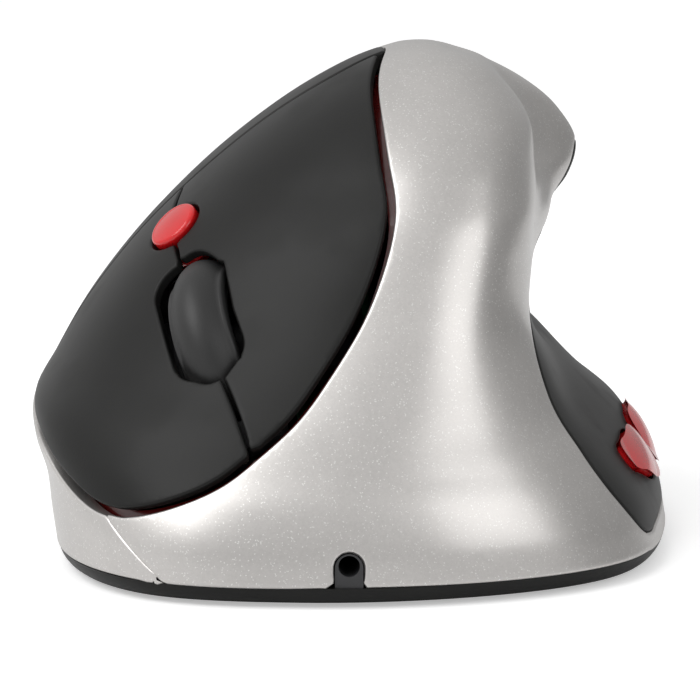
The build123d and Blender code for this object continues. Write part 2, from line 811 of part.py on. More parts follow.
with BuildPart() as dpi_button:
    add(dpi_column(0, dpi_rise - dpi_depth, dpi_rise + dpi_length))
    with BuildPart(mode=Mode.PRIVATE) as dome:
        with Locations(dome_middle):
            Sphere(dpi_dome_radius)
    add(dome.part, mode=Mode.INTERSECT)
    add(dpi_column(dpi_flange, dpi_rise - dpi_depth, dpi_rise) & inner_form)
    add(pin(dpi_plane, dpi_stem_radius, tact_stem_top, dpi_rise - dpi_depth))
dpi_button.part.label = "dpi_button"
export_step(dpi_button.part, "parts/dpi_button.step")

# Wheel: a crowned tyre on a hub whose axle runs in the yoke and the encoder
with BuildPart() as wheel_tyre:
    add(wheel_body(0))
    add(pin(wheel_across, hub_radius, -wheel_width, wheel_width), mode=Mode.SUBTRACT)
wheel_tyre.part.label = "wheel_tyre"
export_step(wheel_tyre.part, "parts/wheel_tyre.step")

with BuildPart() as wheel_hub:
    half_hub = hub_width / 2
    half_web = hub_web / 2
    half_boss = hub_boss_width / 2
    with BuildSketch(wheel_section):
        with BuildLine():
            Polyline((-axle_encoder_end, 0), (-axle_encoder_end, axle_radius),
                     (-half_boss, axle_radius), (-half_boss, hub_boss_radius),
                     (-half_web, hub_boss_radius), (-half_web, hub_radius - hub_rim),
                     (-half_hub, hub_radius - hub_rim), (-half_hub, hub_radius),
                     (half_hub, hub_radius), (half_hub, hub_radius - hub_rim),
                     (half_web, hub_radius - hub_rim), (half_web, hub_boss_radius),
                     (half_boss, hub_boss_radius), (half_boss, axle_radius),
                     (axle_free_end, axle_radius), (axle_free_end, 0), close=True)
        make_face()
    revolve(axis=wheel_axis)
wheel_hub.part.label = "wheel_hub"
export_step(wheel_hub.part, "parts/wheel_hub.step")

# Yoke: two arms, the bar that presses the middle switch, and two pivot pins
yoke_inner = wheel_width / 2 + yoke_side_gap
yoke_outer = yoke_inner + yoke_thickness
across_deck = Plane(deck.origin, x_dir=deck.x_dir, z_dir=-deck.y_dir)
pivot_across = Plane(deck_point(pivot_run, 0, pivot_rise), x_dir=deck.x_dir, z_dir=-deck.y_dir)

with BuildPart() as wheel_yoke:
    for near in (-yoke_outer, yoke_inner):
        with BuildSketch(across_deck.offset(near)):
            with BuildLine():
                Polyline(*scaled(yoke_shares, yoke_length, yoke_height), close=True)
            make_face()
        extrude(amount=yoke_thickness)
    bar_plane = deck_plane((yoke_bar_near + yoke_bar_far) / 2, 0, 0)
    add(rounded_block(bar_plane, yoke_bar_far - yoke_bar_near, 2 * yoke_outer,
                      yoke_bar_low, yoke_bar_high, yoke_thickness / 4))
    add(pin(wheel_across, axle_radius + pin_clearance, -yoke_outer, yoke_outer),
        mode=Mode.SUBTRACT)
    add(pin(pivot_across, pivot_radius, yoke_outer, yoke_outer + pivot_length))
    add(pin(pivot_across, pivot_radius, -yoke_outer - pivot_length, -yoke_outer))
wheel_yoke.part.label = "wheel_yoke"
export_step(wheel_yoke.part, "parts/wheel_yoke.step")

# Bracket on the board with the two lugs that the yoke tips in
lug_near = yoke_outer + button_gap
lug_far = lug_near + pivot_lug_thickness

with BuildPart() as wheel_bracket:
    plate_plane = deck_plane((yoke_plate_low + yoke_plate_high) / 2, 0, 0)
    add(rounded_block(plate_plane, yoke_plate_high - yoke_plate_low, 2 * lug_far,
                      board_top, board_top + yoke_plate_thickness, yoke_thickness / 4))
    for near in (-lug_far, lug_near):
        with BuildSketch(pivot_across.offset(near)):
            Circle(pivot_lug_half)
            with Locations((0, (board_top - pivot_rise) / 2)):
                Rectangle(2 * pivot_lug_half, pivot_rise - board_top)
            Circle(pivot_radius + pin_clearance, mode=Mode.SUBTRACT)
        extrude(amount=pivot_lug_thickness)
wheel_bracket.part.label = "wheel_bracket"
export_step(wheel_bracket.part, "parts/wheel_bracket.step")

with BuildPart() as wheel_encoder:
    with BuildSketch(wheel_across.offset(yoke_outer)):
        RectangleRounded(encoder_length, encoder_height, encoder_height / 8)
        Circle(encoder_bore, mode=Mode.SUBTRACT)
    extrude(amount=encoder_thickness)
wheel_encoder.part.label = "wheel_encoder"
export_step(wheel_encoder.part, "parts/wheel_encoder.step")

# Switch board with its slot for the wheel
with BuildPart() as button_board:
    with BuildSketch(deck.offset(board_bottom)):
        with BuildLine():
            Polyline(*scaled(board_outline_shares, board_reach, board_reach), close=True)
        make_face()
    extrude(amount=board_thickness)
    add(rounded_block(wheel_plane, board_slot_length, board_slot_width, board_bottom - overrun,
                      board_top + overrun, board_slot_width / 8), mode=Mode.SUBTRACT)
    for run, side in (rear_post, low_post):
        add(pin(deck_plane(run, side, 0), board_screw_radius, board_bottom - overrun,
                board_top + overrun), mode=Mode.SUBTRACT)
button_board.part.label = "button_board"
export_step(button_board.part, "parts/button_board.step")


def switch_body(name, run, side, across):
    """A snap switch standing on the board, with the well for its plunger."""
    place = deck_plane(run, side, 0)
    body_place = deck_plane(run - plunger_shift * (1 - across), side - plunger_shift * across, 0)
    length = switch_width if across else switch_length
    width = switch_length if across else switch_width
    with BuildPart() as body:
        add(rounded_block(body_place, length, width, board_top, switch_top, switch_width / 12))
        add(rounded_block(place, plunger_length + 2 * plunger_clearance,
                          plunger_width + 2 * plunger_clearance, switch_top - plunger_depth - overrun / 2,
                          switch_top + overrun, plunger_width / 4), mode=Mode.SUBTRACT)
    body.part.label = name
    export_step(body.part, f"parts/{name}.step")


def switch_plunger(name, run, side):
    """The plunger of a snap switch."""
    with BuildPart() as plunger:
        add(rounded_block(deck_plane(run, side, 0), plunger_length, plunger_width,
                          switch_top - plunger_depth, plunger_top, plunger_width / 4))
    plunger.part.label = name
    export_step(plunger.part, f"parts/{name}.step")


for key, key_run, key_side, key_across in (
        ("left", left_switch_run, left_switch_side, 0),
        ("right", right_switch_run, right_switch_side, 0),
        ("middle", middle_switch_run, middle_switch_side, 1)):
    switch_body(f"{key}_switch", key_run, key_side, key_across)
    switch_plunger(f"{key}_plunger", key_run, key_side)


def tact_switch(name, place, low):
    """A small push switch on a board, bored for its stem; its foot is at low."""
    top = low + tact_height
    with BuildPart() as body:
        add(rounded_block(place, tact_size, tact_size, low, top, tact_size / 12))
        add(pin(place, tact_stem_radius + pin_clearance,
                top - tact_stem_depth - button_travel - travel_gap, top + overrun),
            mode=Mode.SUBTRACT)
    body.part.label = name
    export_step(body.part, f"parts/{name}.step")


def tact_stem(name, place, low):
    """The stem of a small push switch, which rides with its button."""
    top = low + tact_height
    with BuildPart() as stem:
        add(pin(place, tact_stem_radius, top - tact_stem_depth, top + tact_stem_rise))
    stem.part.label = name
    export_step(stem.part, f"parts/{name}.step")


tact_switch("dpi_switch", dpi_plane, board_top)
tact_stem("dpi_stem", dpi_plane, board_top)

# Thumb panel with the holes of its two buttons, and the frame behind its edge
forward_points = scaled(forward_shares, side_button_length, side_button_height)
back_points = [(-run, up) for run, up in forward_points][::-1]

with BuildPart() as thumb_frame:
    add(frame_form)
    add(thumb_block(-lining_lip), mode=Mode.INTERSECT)
    add(thumb_block(lining_lip), mode=Mode.SUBTRACT)
    add(lining_form, mode=Mode.SUBTRACT)
    for boss_x, boss_y in tall_bosses:
        add(pin(floor_plane(boss_x, boss_y), boss_radius + frame_gap, 0, reach + overrun),
            mode=Mode.SUBTRACT)
    add(low_boss_room(), mode=Mode.SUBTRACT)
    for points in (forward_points, back_points):
        add(column(side_plane, shrunk(points, -side_flange - button_gap - frame_gap),
                   -side_board_depth, side_board_depth), mode=Mode.SUBTRACT)
thumb_frame.part.label = "thumb_frame"
export_step(thumb_frame.part, "parts/thumb_frame.step")

with BuildPart() as thumb_panel:
    add(outer_form)
    add(thumb_block(fixed_gap), mode=Mode.INTERSECT)
    add(inner_form, mode=Mode.SUBTRACT)
    for points in (forward_points, back_points):
        add(column(side_plane, shrunk(points, -button_gap), -side_board_depth / 2,
                   side_board_depth), mode=Mode.SUBTRACT)
thumb_panel.part.label = "thumb_panel"
export_step(thumb_panel.part, "parts/thumb_panel.step")

# Side buttons: teardrops that stand proud of the panel, each on a stem
proud_form = body_form(-side_button_proud)
sunk_form = body_form(side_button_depth)
collar_form = body_form(shell_wall + button_travel)
collar_back_form = body_form(shell_wall + button_travel + side_flange)
side_tact_low = -side_board_depth
side_stem_top = side_tact_low + tact_height + tact_stem_rise


def side_button(name, points, run):
    """One side button with a collar under the panel and the stem to its switch."""
    place = Plane(side_plane.from_local_coords((run, 0, 0)), x_dir=side_plane.x_dir,
                  z_dir=side_plane.z_dir)
    with BuildPart() as button:
        add(column(side_plane, points, -side_board_depth, side_board_depth))
        add(proud_form, mode=Mode.INTERSECT)
        add(collar_back_form, mode=Mode.SUBTRACT)
        add((column(side_plane, shrunk(points, -side_flange), -side_board_depth,
                    side_board_depth) & collar_form) - collar_back_form)
        add(pin(place, side_stem_radius, side_stem_top, 0) & sunk_form)
    button.part.label = name
    export_step(button.part, f"parts/{name}.step")
    tact_switch(name.replace("button", "switch"), place, side_tact_low)
    tact_stem(name.replace("button", "stem"), place, side_tact_low)


side_button("forward_button", forward_points, -side_switch_run)
side_button("back_button", back_points, side_switch_run)

board_middle = Plane(side_plane.from_local_coords((0, side_board_shift, 0)),
                     x_dir=side_plane.x_dir, z_dir=side_plane.z_dir)
side_board_back = -side_board_depth - board_thickness

with BuildPart() as side_board:
    add(rounded_block(board_middle, side_board_length, side_board_height, side_board_back,
                      -side_board_depth, board_thickness / 2))
side_board.part.label = "side_board"
export_step(side_board.part, "parts/side_board.step")

# Bracket from the base up to the side board
side_section = Plane(side_plane.origin, x_dir=side_plane.z_dir, z_dir=-side_plane.x_dir)
board_low_edge = side_board_shift - side_board_height / 2
board_high_edge = side_board_shift + side_board_height / 2
bracket_back = side_board_back - bracket_thickness

with BuildPart() as side_bracket:
    add(rounded_block(board_middle, side_board_length, side_board_height, bracket_back,
                      side_board_back, board_thickness / 2))
    down = side_plane.to_local_coords(side_plane.origin - Vector(0, 0, reach)).Z
    fall = side_plane.to_local_coords(side_plane.origin - Vector(0, 0, reach)).Y
    for place in (-bracket_rib_run, 0, bracket_rib_run):
        with BuildSketch(side_section.offset(place - bracket_thickness / 2)):
            with BuildLine():
                Polyline((side_board_back, board_high_edge), (bracket_back, board_high_edge),
                         (bracket_back + down, board_high_edge + fall),
                         (side_board_back + down, board_low_edge + fall),
                         (side_board_back, board_low_edge), close=True)
            make_face()
        extrude(amount=bracket_thickness)
    split(bisect_by=Plane.XY.offset(base_top), keep=Keep.TOP)
side_bracket.part.label = "side_bracket"
export_step(side_bracket.part, "parts/side_bracket.step")

# Base plate: the footprint drawn in towards the table, with a rib inside the shell
boss_places = tall_bosses + [(low_boss_x, low_boss_y), (back_boss_x, back_boss_y)]
post_places = [rear_post, upper_post, middle_post, low_post]
half_board_x = main_board_width / 2 - standoff_radius
half_board_y = main_board_length / 2 - standoff_radius
standoff_places = [(main_board_x + sign_x * half_board_x, main_board_y + sign_y * half_board_y)
                   for sign_x in (-1, 1) for sign_y in (-1, 1)]
under_board = deck.offset(board_bottom)
screw_shoulder = base_bottom + screw_cover + screw_head_height

with BuildPart() as base_plate:
    loft([level_face(station_points(0, base_tuck), base_bottom),
          level_face(station_points(0, base_tuck / 3), (base_bottom + base_top) / 2),
          level_face(station_points(0, base_lip), base_top)])
    rib_depth = shell_wall + frame_gap + lining_wall + base_rib_gap
    with BuildPart(mode=Mode.PRIVATE) as rib:
        add(column(Plane.XY, station_points(0, rib_depth), base_top, base_top + base_rib_height))
        add(column(Plane.XY, station_points(0, rib_depth + base_rib_wall), 0, reach),
            mode=Mode.SUBTRACT)
        for x, y in boss_places:
            add(rounded_block(floor_plane(x, y), 2 * low_boss_web + boss_radius,
                              2 * boss_radius + overrun, base_top, reach, web_thickness / 4),
                mode=Mode.SUBTRACT)
        add(rounded_block(floor_plane(back_boss_x, back_boss_y), 2 * boss_radius + overrun,
                          2 * low_boss_web + boss_radius, base_top, reach, web_thickness / 4),
            mode=Mode.SUBTRACT)
        add(rounded_block(floor_plane(notch_x, nose_front), gland_flange_width + overrun,
                          4 * gland_length, base_top, reach, web_thickness / 4),
            mode=Mode.SUBTRACT)
    add(rib.part)
    for x, y in standoff_places:
        add(pin(floor_plane(x, y), standoff_radius, base_top, main_board_height))
    with BuildPart(mode=Mode.PRIVATE) as posts:
        for run, side in post_places:
            head = deck_point(run, side, board_bottom)
            add(pin(floor_plane(head.X, head.Y), post_radius, base_top, body_height))
        split(bisect_by=under_board, keep=Keep.BOTTOM)
    add(posts.part)
    for run, side in (rear_post, low_post):
        add(pin(deck_plane(run, side, 0), board_screw_radius, board_top - board_screw_length,
                board_top), mode=Mode.SUBTRACT)
    for x, y in boss_places:
        add(pin(floor_plane(x, y), screw_radius, 0, base_top + overrun), mode=Mode.SUBTRACT)
        add(pin(floor_plane(x, y), screw_head_radius, 0, screw_shoulder), mode=Mode.SUBTRACT)
    add(rounded_block(floor_plane(sensor_x, sensor_y), window_width, window_length, 0,
                      base_top + overrun, board_thickness / 2), mode=Mode.SUBTRACT)
    for sign in (-1, 1):
        add(rounded_block(floor_plane(0, sign * foot_place_y), foot_length + 2 * fixed_gap,
                          foot_width + 2 * fixed_gap, 0, foot_thickness, foot_width / 2),
            mode=Mode.SUBTRACT)
base_plate.part.label = "base_plate"
export_step(base_plate.part, "parts/base_plate.step")

for sign, foot_name in ((-1, "front_foot"), (1, "rear_foot")):
    with BuildPart() as foot:
        add(rounded_block(floor_plane(0, sign * foot_place_y), foot_length, foot_width, 0,
                          foot_thickness, foot_width / 2 - fixed_gap))
    foot.part.label = foot_name
    export_step(foot.part, f"parts/{foot_name}.step")

for index, (x, y) in enumerate(boss_places):
    with BuildPart() as base_screw:
        add(pin(floor_plane(x, y), screw_head_radius - fixed_gap, base_bottom + screw_cover,
                screw_shoulder))
        add(pin(floor_plane(x, y), screw_radius, screw_shoulder, base_bottom + screw_length))
        add(rounded_block(floor_plane(x, y), 2 * screw_radius, screw_slot, 0,
                          base_bottom + screw_cover + screw_slot, screw_slot / 4),
            mode=Mode.SUBTRACT)
    base_screw.part.label = f"base_screw_{index + 1}"
    export_step(base_screw.part, f"parts/base_screw_{index + 1}.step")

for index, (run, side) in enumerate((rear_post, low_post)):
    with BuildPart() as board_screw:
        board_hole = deck_plane(run, side, 0)
        add(pin(board_hole, board_screw_head_radius, board_top, board_top + board_screw_head_height))
        add(pin(board_hole, board_screw_radius, board_top - board_screw_length, board_top))
        add(rounded_block(board_hole, board_screw_head_radius, screw_slot,
                          board_top + board_screw_head_height - screw_slot, 0,
                          screw_slot / 4), mode=Mode.SUBTRACT)
    board_screw.part.label = f"board_screw_{index + 1}"
    export_step(board_screw.part, f"parts/board_screw_{index + 1}.step")

# Gland of the cord inlet: an arch through the nose with a flange inside
with BuildPart() as cable_gland:
    gland_front = gland_recess
    flange_near = shell_wall + gland_flange_gap
    add(notch_column(-fixed_gap, gland_front, gland_length))
    with BuildSketch(notch_plane.offset(flange_near)):
        with Locations((0, (notch_middle - base_top) / 2)):
            RectangleRounded(gland_flange_width, gland_flange_width - (notch_middle - base_top),
                             notch_width / 4)
    extrude(amount=gland_flange)
    split(bisect_by=Plane.XY.offset(base_top), keep=Keep.TOP)
    cord_plane = Plane((notch_x, nose_front, cord_height), x_dir=(1, 0, 0), z_dir=(0, 1, 0))
    add(pin(cord_plane, cord_bore, -overrun, gland_length + overrun), mode=Mode.SUBTRACT)
cable_gland.part.label = "cable_gland"
export_step(cable_gland.part, "parts/cable_gland.step")

# Main board with the optical sensor, its lens and lamp, and a controller chip
board_place = floor_plane(main_board_x, main_board_y)
main_board_top = main_board_height + board_thickness
sensor_place = floor_plane(sensor_x, sensor_y)

with BuildPart() as main_board:
    add(rounded_block(board_place, main_board_width, main_board_length, main_board_height,
                      main_board_top, standoff_radius))
    add(rounded_block(sensor_place, window_width, window_length, 0, reach,
                      board_thickness / 2), mode=Mode.SUBTRACT)
main_board.part.label = "main_board"
export_step(main_board.part, "parts/main_board.step")

with BuildPart() as sensor_lens:
    add(rounded_block(sensor_place, lens_width, lens_length, base_top, base_top + lens_thickness,
                      board_thickness))
    with Locations((sensor_x, sensor_y, base_top + lens_thickness)):
        Sphere(lens_dome_radius)
    split(bisect_by=Plane.XY.offset(base_top), keep=Keep.TOP)
sensor_lens.part.label = "sensor_lens"
export_step(sensor_lens.part, "parts/sensor_lens.step")

with BuildPart() as sensor:
    add(rounded_block(sensor_place, sensor_width, sensor_length, main_board_top,
                      main_board_top + sensor_height, board_thickness / 2))
sensor.part.label = "sensor"
export_step(sensor.part, "parts/sensor.step")

with BuildPart() as sensor_lamp:
    lamp_start = sensor_y + sensor_length / 2 + fixed_gap
    lamp_plane = Plane((sensor_x, lamp_start, main_board_top + lamp_radius), z_dir=(0, 1, 0))
    add(pin(lamp_plane, lamp_radius, 0, lamp_length))
sensor_lamp.part.label = "sensor_lamp"
export_step(sensor_lamp.part, "parts/sensor_lamp.step")

with BuildPart() as controller_chip:
    add(rounded_block(floor_plane(chip_x, chip_y), chip_length, chip_width, main_board_top,
                      main_board_top + chip_height, board_thickness / 2))
controller_chip.part.label = "controller_chip"
export_step(controller_chip.part, "parts/controller_chip.step")

# Sockets on both boards and the flat ribbon between them
deck_socket = deck_plane(deck_socket_run, deck_socket_side, 0)
low_socket = floor_plane(low_socket_x, low_socket_y)
ribbon_start = board_bottom - socket_height
ribbon_end = main_board_top + socket_height

with BuildPart() as deck_socket_part:
    add(rounded_block(deck_socket, socket_width, socket_length, ribbon_start, board_bottom,
                      socket_width / 8))
deck_socket_part.part.label = "board_socket"
export_step(deck_socket_part.part, "parts/board_socket.step")

with BuildPart() as low_socket_part:
    add(rounded_block(low_socket, socket_length, socket_width, main_board_top, ribbon_end,
                      socket_width / 8))
low_socket_part.part.label = "main_socket"
export_step(low_socket_part.part, "parts/main_socket.step")

with BuildPart() as ribbon_cable:
    top_end = deck_socket.from_local_coords((0, 0, ribbon_start))
    low_end = Vector(low_socket_x, low_socket_y, ribbon_end)
    route = Spline(top_end, low_end, tangents=(-deck.z_dir, Vector(0, 0, -1)))
    sections = []
    for step in range(ribbon_steps + 1):
        share = step / ribbon_steps
        width_dir = deck.y_dir * (1 - share) + Vector(1, 0, 0) * share
        travel = route % share
        spot = Plane(route @ share, x_dir=width_dir - travel * width_dir.dot(travel), z_dir=travel)
        with BuildSketch(spot) as slice_sketch:
            Rectangle(ribbon_width, ribbon_thickness)
        sections.append(slice_sketch.sketch.face())
    loft(sections)
ribbon_cable.part.label = "ribbon_cable"
export_step(ribbon_cable.part, "parts/ribbon_cable.step")
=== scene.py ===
"""Looks of the vertical ergonomic mouse, laid out as a Blender add-on and run as a script.

The visible skins are trimmed from one smooth body surface, which is worked out from the
same stations as the solids.  Everything is in metres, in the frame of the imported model.
"""
import math

import bpy
import numpy as np
from bpy.props import FloatProperty, FloatVectorProperty, IntProperty, PointerProperty
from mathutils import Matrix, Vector


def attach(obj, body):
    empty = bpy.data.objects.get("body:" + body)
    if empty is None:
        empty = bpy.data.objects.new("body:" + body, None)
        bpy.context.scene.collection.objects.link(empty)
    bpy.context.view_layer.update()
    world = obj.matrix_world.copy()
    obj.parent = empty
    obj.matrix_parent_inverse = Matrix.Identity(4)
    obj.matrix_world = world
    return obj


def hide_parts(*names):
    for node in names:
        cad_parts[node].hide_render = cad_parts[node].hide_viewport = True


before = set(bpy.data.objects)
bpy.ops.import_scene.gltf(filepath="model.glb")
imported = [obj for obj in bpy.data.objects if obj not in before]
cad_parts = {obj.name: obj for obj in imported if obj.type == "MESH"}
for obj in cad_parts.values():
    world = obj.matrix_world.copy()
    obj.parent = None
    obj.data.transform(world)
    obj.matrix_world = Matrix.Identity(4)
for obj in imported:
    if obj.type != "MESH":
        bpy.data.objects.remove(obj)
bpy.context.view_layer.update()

bl_info = {
    "name": "Vertical Mouse",
    "version": (1, 0, 0),
    "blender": (4, 5, 0),
    "location": "View3D > Sidebar > Mouse",
    "description": "Builds the skins, buttons, finishes and studio of a vertical mouse",
    "category": "Add Mesh",
}

# In thousandths, one share per station from the base seam up: of the body's height, width
# and length
STATIONS = {
    "station_height": [40, 108, 177, 238, 300, 377, 477, 585, 634, 685, 728, 769, 846, 915, 971,
        988, 997],
    "left_x": [-455, -463, -473, -493, -498, -467, -422, -361, -329, -292, -259, -225, -153, -75,
        8, 46, 71],
    "left_y": [-111, -111, -102, -92, -82, -63, -44, -24, -15, -5, 6, 15, 24, 34, 34, 34, 34],
    "front_x": [-79, -73, -61, -44, -20, 21, 68, 104, 114, 121, 125, 127, 127, 121, 116, 107, 104],
    "front_y": [-499, -493, -478, -456, -433, -402, -365, -330, -314, -296, -278, -259, -212, -152,
        -81, -40, -3],
    "back_x": [-32, -38, -44, -50, -55, -55, -44, -20, -7, 9, 26, 45, 80, 104, 110, 105, 103],
    "back_y": [480, 489, 496, 499, 496, 485, 460, 422, 401, 377, 354, 328, 270, 199, 133, 100, 66],
    "nose_x": [473, 453, 417, 376, 333, 298, 265, 271, 275, 279, 278, 275, 269, 237, 185, 147,
        125],
    "nose_y": [-170, -170, -179, -189, -189, -189, -179, -121, -111, -92, -82, -73, -53, -34, -15,
        5, 18],
    "hollow_x": [488, 481, 454, 420, 370, 308, 252, 278, 302, 310, 294, 279, 262, 235, 195, 156,
        130],
    "hollow_y": [5, 5, 15, 15, 15, 15, 24, -24, 29, 44, 29, 34, 34, 29, 30, 32, 32],
    "fin_x": [474, 465, 449, 422, 364, 307, 235, 239, 270, 328, 350, 358, 328, 267, 185, 147, 125],
    "fin_y": [160, 160, 170, 170, 179, 179, 199, 160, 170, 121, 137, 155, 155, 111, 73, 59, 46],
}
OPENING_SHARES = np.array([(24, -458), (107, -420), (167, -389), (232, -344), (286, -297),
    (327, -241), (348, -180), (355, -109), (339, -9), (307, 61), (267, 130), (207, 203),
    (157, 259), (101, 319), (36, 375), (-36, 414), (-107, 421), (-188, 420), (-257, 414),
    (-321, 408), (-386, 405), (-436, 398), (-486, 375), (-535, 320), (-588, 195), (-630, 36),
    (-641, -125), (-620, -281), (-575, -406), (-505, -500), (-420, -556), (-330, -570),
    (-232, -547), (-124, -509), (-40, -481)]) / 1000
GROOVE_SHARES = np.array([(-460, 500), (-432, 398), (-402, 317), (-373, 211), (-340, 78),
    (-300, -70), (-244, -242), (-169, -414), (-90, -590)]) / 1000
SEAM_SHARES = np.array([(-360, -80), (-300, -68), (-238, -66), (-108, -42), (-51, -28), (54, -3),
    (162, 25), (210, 38), (255, 47), (300, 52), (360, 56)]) / 1000
THUMB_SHARES = np.array([(-371, 110), (-352, 94), (-278, 90), (-175, 92), (0, 96), (175, 100),
    (325, 110), (438, 150), (500, 260), (519, 400), (500, 560), (450, 720), (381, 860), (312, 950),
    (250, 1000), (200, 1012), (156, 946), (112, 890), (19, 820), (-69, 790), (-106, 760),
    (-144, 720), (-206, 670), (-269, 610), (-319, 556), (-348, 504), (-364, 458), (-381, 380),
    (-401, 308), (-410, 238), (-399, 172)]) / 1000
FORWARD_SHARES = np.array([(-1020, 340), (-750, 420), (-420, 420), (-160, 340), (-60, 140),
    (-50, -120), (-120, -360), (-300, -440), (-580, -300), (-840, -40), (-1020, 180)]) / 1000

# Planes: a place as shares of the body's size, a direction in the plane and its facing
SLOPE_PLACE, SLOPE_RUN = (-0.2205, -0.2471, 0.523), (0, -0.84, -0.54)
SLOPE_FACING = (-0.55, -0.45, 0.7)
DECK_PLACE, DECK_RUN = (-0.1835, -0.2428, 0.4089), (0.1278, -0.7171, -0.6851)
DECK_FACING = (-0.425, -0.6638, 0.6154)
SIDE_PLACE, SIDE_RUN = (0.0373, -0.003, 0.011), (0.06, 0.998, 0.0188)
SIDE_FACING = (0.82, -0.06, 0.57)
CREASE_PLACE, CREASE_FACING = (-0.33, -0.437, 0.105), (0.536, -0.252, 0.811)
# Lengths in metres and turns of the openings and of the buttons in them
SLOPE_DEPTH, OPENING_LIMIT = 0.036, 0.0085
THUMB_NEAR, THUMB_LENGTH, THUMB_HEIGHT = 0.008, 0.08, 0.05
TRAVEL_GAP = 0.0004
NOTCH_X, NOTCH_MIDDLE, NOTCH_HALF = -0.0008, 0.00505, 0.00185
SLOT_RUN, SLOT_SIDE, SLOT_TILT, SLOT_CORNER = -0.0011, -0.0006, math.radians(9), 0.004
DPI_RUN, DPI_SIDE, DPI_RISE, DPI_TURN, DPI_GAP = -0.0189, -0.003, 0.0062, math.radians(26), 0.00045
DPI_FACING, DPI_PROUD, DPI_DOME = (-0.63, -0.34, 0.7), 0.001, 0.016
DPI_DEPTH, DPI_FLANGE, FLANGE_HEIGHT, FLANGE_EDGE = 0.0046, 0.0005, 0.001, 0.0001
SIDE_BUTTON_LENGTH, SIDE_BUTTON_HEIGHT, SIDE_REACH = 0.015, 0.008, 0.012
SIDE_BUTTON_PROUD, SIDE_BUTTON_DEPTH = 0.0013, 0.0029
# The surface under a button is averaged over this many grid points, by a bell this wide
LIFT_POINTS, LIFT_SPREAD, LEAST_FACING = 24, 0.0009, 0.2
# A distance is divided by its steepness on the surface, but by no less than this
LEAST_STEEPNESS = 0.35
SHARP_ANGLE = math.radians(50)
# The grid's rows start this many edges below the base seam and stop at this share of the rise
ROWS_START, ROWS_STOP = 2.5, 0.9995
# The two painted skins pass the parting line by this much of their rounding
CREASE_OVERLAP = 0.3
EDGE_TURNS = np.radians([22.5, 45, 67.5, 90])
CAP_START, CAP_ROWS, CAP_TURNS = 0.06, 22, np.radians([15, 30, 45, 60, 75, 90])
OVAL_EDGE, SIDE_EDGE, TYRE_EDGE = 1.6, 1.8, 1.5
BRIM_SHARE = 0.55
TYRE_POINTS, TYRE_CORNER, TYRE_STEPS, TYRE_FLATNESS = 25, 6, 160, 0.8
# Points of the smooth outlines, and the most points whose distances are worked out at once
OPENING_POINTS, THUMB_POINTS, BUTTON_POINTS, OVAL_POINTS = 360, 300, 160, 120
GROOVE_POINTS, SEAM_POINTS, BATCH = 90, 120, 16384
# Lamps: place and side length
LAMPS = {"key": ((-0.55, -0.35, 0.75), 0.7), "fill": ((0.7, -0.6, 0.5), 0.6)}
LAMP_AIM = (0, 0, 0.03)
FLOOR_RADII, FLOOR_STEPS, FLOOR_DROP = (0.05, 0.15, 0.4, 1.0, 2.5, 7.0), 64, 0.00002
# The light room glows from the first to the second strength over this span along its lean
ROOM_LEAN, ROOM_GLOW, ROOM_SPAN = (-0.62, -0.12, 0.6), (0.22, 1.15), (-0.75, 0.85)
FLOOR_LIFT = 0.42
CAMERA_X, AIM_Y, SENSOR_WIDTH, NEAREST = -0.0007, -0.0015, 36, 0.01
WHITE, SPARK_COLOUR = (1, 1, 1, 1), (0.78, 0.77, 0.75, 1)


def metres(name, words, value):
    """A size property with its words."""
    return FloatProperty(name=name, description=words, default=value, unit="LENGTH")


class MouseSizes(bpy.types.PropertyGroup):
    """Sizes that a maker would change, in metres."""

    width: metres("Body width", "Side to side", 0.0848)
    length: metres("Body length", "Nose to tail", 0.1032)
    height: metres("Body height", "Table to crest", 0.065)
    slope_length: metres("Slope length", "Reference length of the keys' slope", 0.084)
    slope_height: metres("Slope height", "Reference height of the keys' slope", 0.064)
    shell_wall: metres("Shell wall", "Thickness of the painted skin", 0.0024)
    key_wall: metres("Key wall", "Thickness of the keys", 0.0014)
    key_gap: metres("Key gap", "Gap between the keys and the shell", 0.001)
    seam_gap: metres("Seam gap", "Gap between the two keys", 0.0005)
    groove_gap: metres("Groove gap", "Gap behind the keys", 0.0005)
    fixed_gap: metres("Fixed gap", "Gap between pieces that stay put", 0.00015)
    button_gap: metres("Button gap", "Gap round the side buttons", 0.0004)
    edge: metres("Edge radius", "Rounding along the skins' edges", 0.00035)
    slot_length: metres("Slot length", "Wheel slot, front to back", 0.0194)
    slot_width: metres("Slot width", "Wheel slot, side to side", 0.0094)
    wheel_radius: metres("Wheel radius", "Radius over the crown", 0.0122)
    wheel_width: metres("Wheel width", "Width of the tyre", 0.0076)
    wheel_crown: metres("Wheel crown", "Rise of the tyre's middle", 0.0024)
    hub_radius: metres("Hub radius", "Inner radius of the tyre", 0.0092)
    dpi_length: metres("Oval length", "Long way of the resolution button", 0.007)
    dpi_width: metres("Oval width", "Short way of the resolution button", 0.0068)
    rows: IntProperty(name="Rows", description="Grid rows from the base to the crest",
                      default=170)
    columns: IntProperty(name="Columns", description="Grid columns round the body", default=400)


def colour(name, words, value):
    """A colour property with its words."""
    return FloatVectorProperty(name=name, description=words, default=value, size=3, min=0, max=1,
                               subtype="COLOR")


